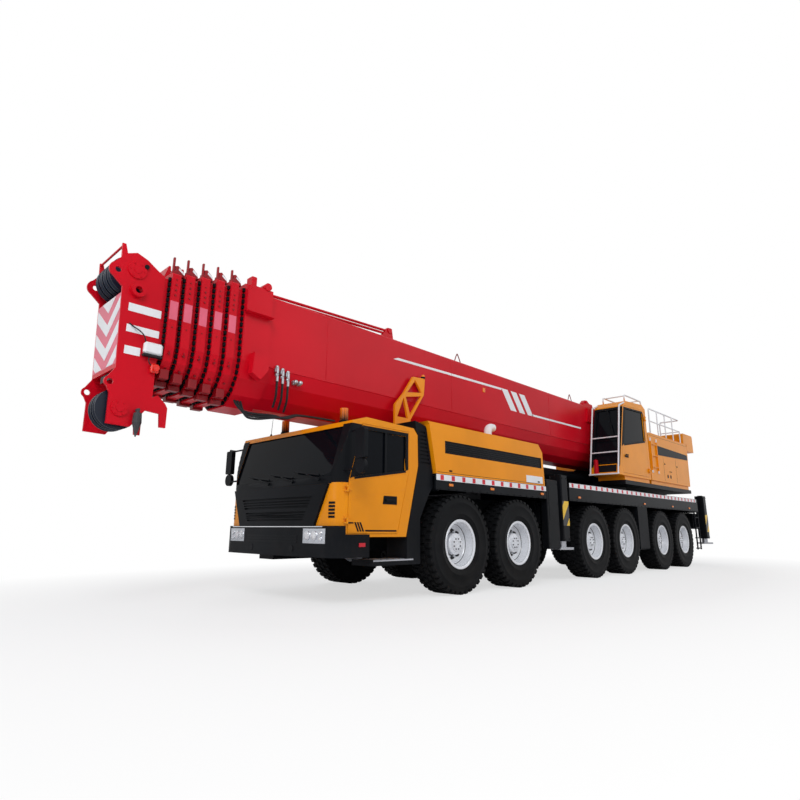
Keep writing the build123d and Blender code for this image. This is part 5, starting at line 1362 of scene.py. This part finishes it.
def add_operator_trim():
    """Trim of the operator's door and front, the extinguisher and the step's ribs."""
    trim = bmesh.new()
    frame_strips(trim, OPERATOR_WINDOW, OPERATOR_SIDE_Y, 0.04)
    add_block(trim, at(-6.59, 1.432, 2.745), at(-6.8, 1.45, 2.785), 0.006)
    add_block(trim, at(-6.62, 1.445, 2.79), at(-6.77, 1.47, 2.82), 0.008)
    strip(trim, ((-6.605, 3.07), (-6.885, 4.01), (-6.87, 4.05), (-6.775, 4.05), (-6.475, 3.0)),
          OPERATOR_SIDE_Y, 0.003)
    finished("operator_door_trim", trim, "plastic", "operator_door")
    front = bmesh.new()
    for panel in ((0.692, 0.752, 2.5, 4.05), (1.368, 1.428, 2.5, 4.05), (0.752, 1.368, 3.99, 4.05),
                  (0.775, 1.345, 2.365, 2.54)):
        add_plate(front, on_operator(rect(*panel), 0.001), (0.003, 0, 0.001))
    for z in (2.575, 3.22):
        add_plate(front, on_operator(rect(0.755, 1.365, z, z + 0.03), -0.02), (0.018, 0, 0.005))
    foot = at(operator_front(3.97) + 0.006, 1.06, 3.97)
    add_rod(front, foot, foot + Vector((0.04, 0, 0.012)), 0.022, 14)
    add_pipe(front, [foot + Vector((0.035, 0, 0.01)), at(operator_front(3.7) + 0.03, 1.1, 3.7),
                     at(operator_front(3.46) + 0.012, 1.18, 3.46)], 0.007, 8)
    blade = ((1.12, 3.62), (1.16, 3.62), (1.26, 3.27), (1.22, 3.27))
    add_plate(front, on_operator(blade, 0.002), (0.016, 0, 0.004))
    finished("operator_front_trim", front, "plastic", "superstructure")
    bottle = bmesh.new()
    add_rod(bottle, at(-6.215, 0.86, 2.3305), at(-6.215, 0.86, 2.66), 0.052, 24)
    add_ball(bottle, at(-6.215, 0.86, 2.66), 0.052, (1, 1, 0.55))
    finished("extinguisher", bottle, "red", "superstructure", True)
    valve = bmesh.new()
    add_rod(valve, at(-6.215, 0.86, 2.685), at(-6.215, 0.86, 2.725), 0.014, 12)
    add_block(valve, at(-6.18, 0.845, 2.715), at(-6.26, 0.875, 2.735), 0.004)
    finished("extinguisher_valve", valve, "black", "superstructure")
    floor = bmesh.new()
    for k in range(9):
        y = 0.76 + 0.075 * k
        add_block(floor, at(-6.39, y - 0.012, 2.3302), at(-6.29, y + 0.012, 2.335), 0.001)
    finished("guard_floor_ribs", floor, "steel", "superstructure")


def add_rope():
    """Layers of rope on the winch's drum."""
    shape = bmesh.new()
    low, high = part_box("winch")
    centre = (low + high) / 2
    half = (high.y - low.y) / 2 - 0.06
    for k in range(26):
        y = -half + 2 * half * (k + 0.5) / 26
        ring = [(0.221, y - half / 27), (0.233, y), (0.221, y + half / 27)]
        add_turned(shape, ring, centre, 48, closed=False)
    finished("winch_rope", shape, "steel", "superstructure", True)


def add_roof_plates():
    """Ribbed walkway on the left housing's roof, with its fans' round grilles on the right one."""
    shape, fans = bmesh.new(), bmesh.new()
    for k in range(28):
        x = -8.6 - 0.088 * k
        add_block(shape, at(x - 0.012, 0.86, 3.6002), at(x + 0.012, 1.33, 3.606), 0.001)
    for x in (-9.4, -10.2, -11.0):
        for radius in (0.22, 0.17, 0.12, 0.07):
            add_turned(fans, rect(radius, radius - 0.014, 0.0003, 0.012), at(x, -1.08, 3.6), 40, "Z")
    finished("roof_treads", shape, "steel", "superstructure")
    finished("roof_fans", fans, "plastic", "superstructure")


def add_housing_marks():
    """Dark band, seams, round openings, latches, and the ladder's white tips."""
    dark, metal, white = bmesh.new(), bmesh.new(), bmesh.new()
    strip(dark, ((-8.93, 3.29), (-11.4, 3.25), (-11.4, 3.1), (-8.93, 3.025)), HOUSING_Y, 0.003)
    for x in (-9.32, -10.3):
        strip(dark, rect(x, x - 0.006, 2.34, 3.02), HOUSING_Y)
    strip(dark, rect(-8.36, -11.47, 3.528, 3.534), HOUSING_Y)
    for x in (-9.58, -9.8):
        add_pin(dark, x, 2.48, 1.4003, 1.404, 0.05, 24)
    for x in (-9.4, -10.38):
        add_block(metal, at(x - 0.03, 1.4003, 2.8), at(x + 0.03, 1.412, 2.83), 0.004)
    add_pipe(metal, [at(-9.87, 1.4, 2.62), at(-9.87, 1.43, 2.62), at(-9.73, 1.43, 2.62),
                     at(-9.73, 1.4, 2.62)], 0.007, 8)
    mirror(dark, metal)
    for x in (-8.845, -8.415):
        add_block(white, at(x - 0.0155, 1.3998, 3.36), at(x + 0.0155, 1.436, 3.4505), 0.002)
        add_block(white, at(x - 0.0155, 1.3998, 2.4995), at(x + 0.0155, 1.436, 2.57), 0.002)
    finished("housing_marks", dark, "black", "superstructure")
    finished("housing_latches", metal, "plastic", "superstructure")
    finished("ladder_tips", white, "white", "superstructure")


# Operators of the added pieces

class Step:
    """What the operators that add pieces share."""

    def execute(self, context):
        for add in self.adders:
            add()
        return {"FINISHED"}


class CRANE_OT_wheels(Step, bpy.types.Operator):
    """Makes the tyres with their tread and the dished rims with their nuts"""
    bl_idname = "crane.wheels"
    bl_label = "Wheels"
    adders = (add_wheels,)


class CRANE_OT_cab(Step, bpy.types.Operator):
    """Adds the carrier cab's marks, handles, wipers, lamps, vents, mirror glass and antenna"""
    bl_idname = "crane.cab"
    bl_label = "Carrier cab"
    adders = (add_door_trims, add_wipers, add_lamps, add_front, add_screen_surround, add_mirror_glass)


class CRANE_OT_sides(Step, bpy.types.Operator):
    """Adds the striped bands, marker lamps, covers and warning plates along the hood and the deck"""
    bl_idname = "crane.sides"
    bl_label = "Hood and deck sides"
    adders = (add_side_bands, add_deck_bolts, add_rest_lamp, add_channel_covers, add_outrigger_marks)


class CRANE_OT_operator_cab(Step, bpy.types.Operator):
    """Adds the operator's cab window trim, handle, wiper, step ribs and extinguisher"""
    bl_idname = "crane.operator_cab"
    bl_label = "Operator's cab"
    adders = (add_operator_trim,)


class CRANE_OT_housings(Step, bpy.types.Operator):
    """Adds the housings' dark band, seams, latches, round openings, rope, roof plates and ladder tips"""
    bl_idname = "crane.housings"
    bl_label = "Housings"
    adders = (add_housing_marks, add_rope, add_roof_plates)


class CRANE_OT_boom_marks(Step, bpy.types.Operator):
    """Lays the white lines, the three bars and the weld seams on the base section's sides"""
    bl_idname = "crane.boom_marks"
    bl_label = "Boom lines"
    adders = (add_boom_lines,)


class CRANE_OT_collars(Step, bpy.types.Operator):
    """Adds the teeth, posts, hooked levers, bands and bolts of the telescoping sections' collars"""
    bl_idname = "crane.collars"
    bl_label = "Collars"
    adders = (add_collars, add_base_brackets)


class CRANE_OT_boom_fittings(Step, bpy.types.Operator):
    """Adds the twin pipes, the hoops, the hose couplings and the bracket at the boom's rear"""
    bl_idname = "crane.boom_fittings"
    bl_label = "Boom fittings"
    adders = (add_boom_pipes, add_hoses, add_rear_bracket)


class CRANE_OT_boom_head(Step, bpy.types.Operator):
    """Adds the head's chevrons, bars, bolted flanges, lamp, box, cables and hanging rope socket"""
    bl_idname = "crane.boom_head"
    bl_label = "Boom head"
    adders = (add_chevrons, add_bars, add_fittings)


# Panel and registration

OPERATORS = (CRANE_OT_paint, CRANE_OT_wheels, CRANE_OT_cab, CRANE_OT_sides, CRANE_OT_operator_cab,
             CRANE_OT_housings, CRANE_OT_boom_marks, CRANE_OT_collars, CRANE_OT_boom_fittings,
             CRANE_OT_boom_head, CRANE_OT_stage)


class CRANE_PT_panel(bpy.types.Panel):
    """Lists the crane's settings and steps"""
    bl_label = "Mobile crane"
    bl_idname = "CRANE_PT_panel"
    bl_space_type = "VIEW_3D"
    bl_region_type = "UI"
    bl_category = "Crane"

    def draw(self, context):
        for group in (context.scene.crane_colours, context.scene.crane_sizes):
            for name in group.__annotations__:
                self.layout.prop(group, name)
        for operator in OPERATORS:
            self.layout.operator(operator.bl_idname)


CLASSES = (CraneColours, CraneSizes, *OPERATORS, CRANE_PT_panel)


def register():
    for cls in CLASSES:
        bpy.utils.register_class(cls)
    bpy.types.Scene.crane_colours = bpy.props.PointerProperty(type=CraneColours)
    bpy.types.Scene.crane_sizes = bpy.props.PointerProperty(type=CraneSizes)


def unregister():
    del bpy.types.Scene.crane_sizes
    del bpy.types.Scene.crane_colours
    for cls in reversed(CLASSES):
        bpy.utils.unregister_class(cls)


def main():
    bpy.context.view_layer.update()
    register()
    for operator in OPERATORS:
        getattr(bpy.ops.crane, operator.bl_idname.partition(".")[2])()


if __name__ == "__main__":
    main()
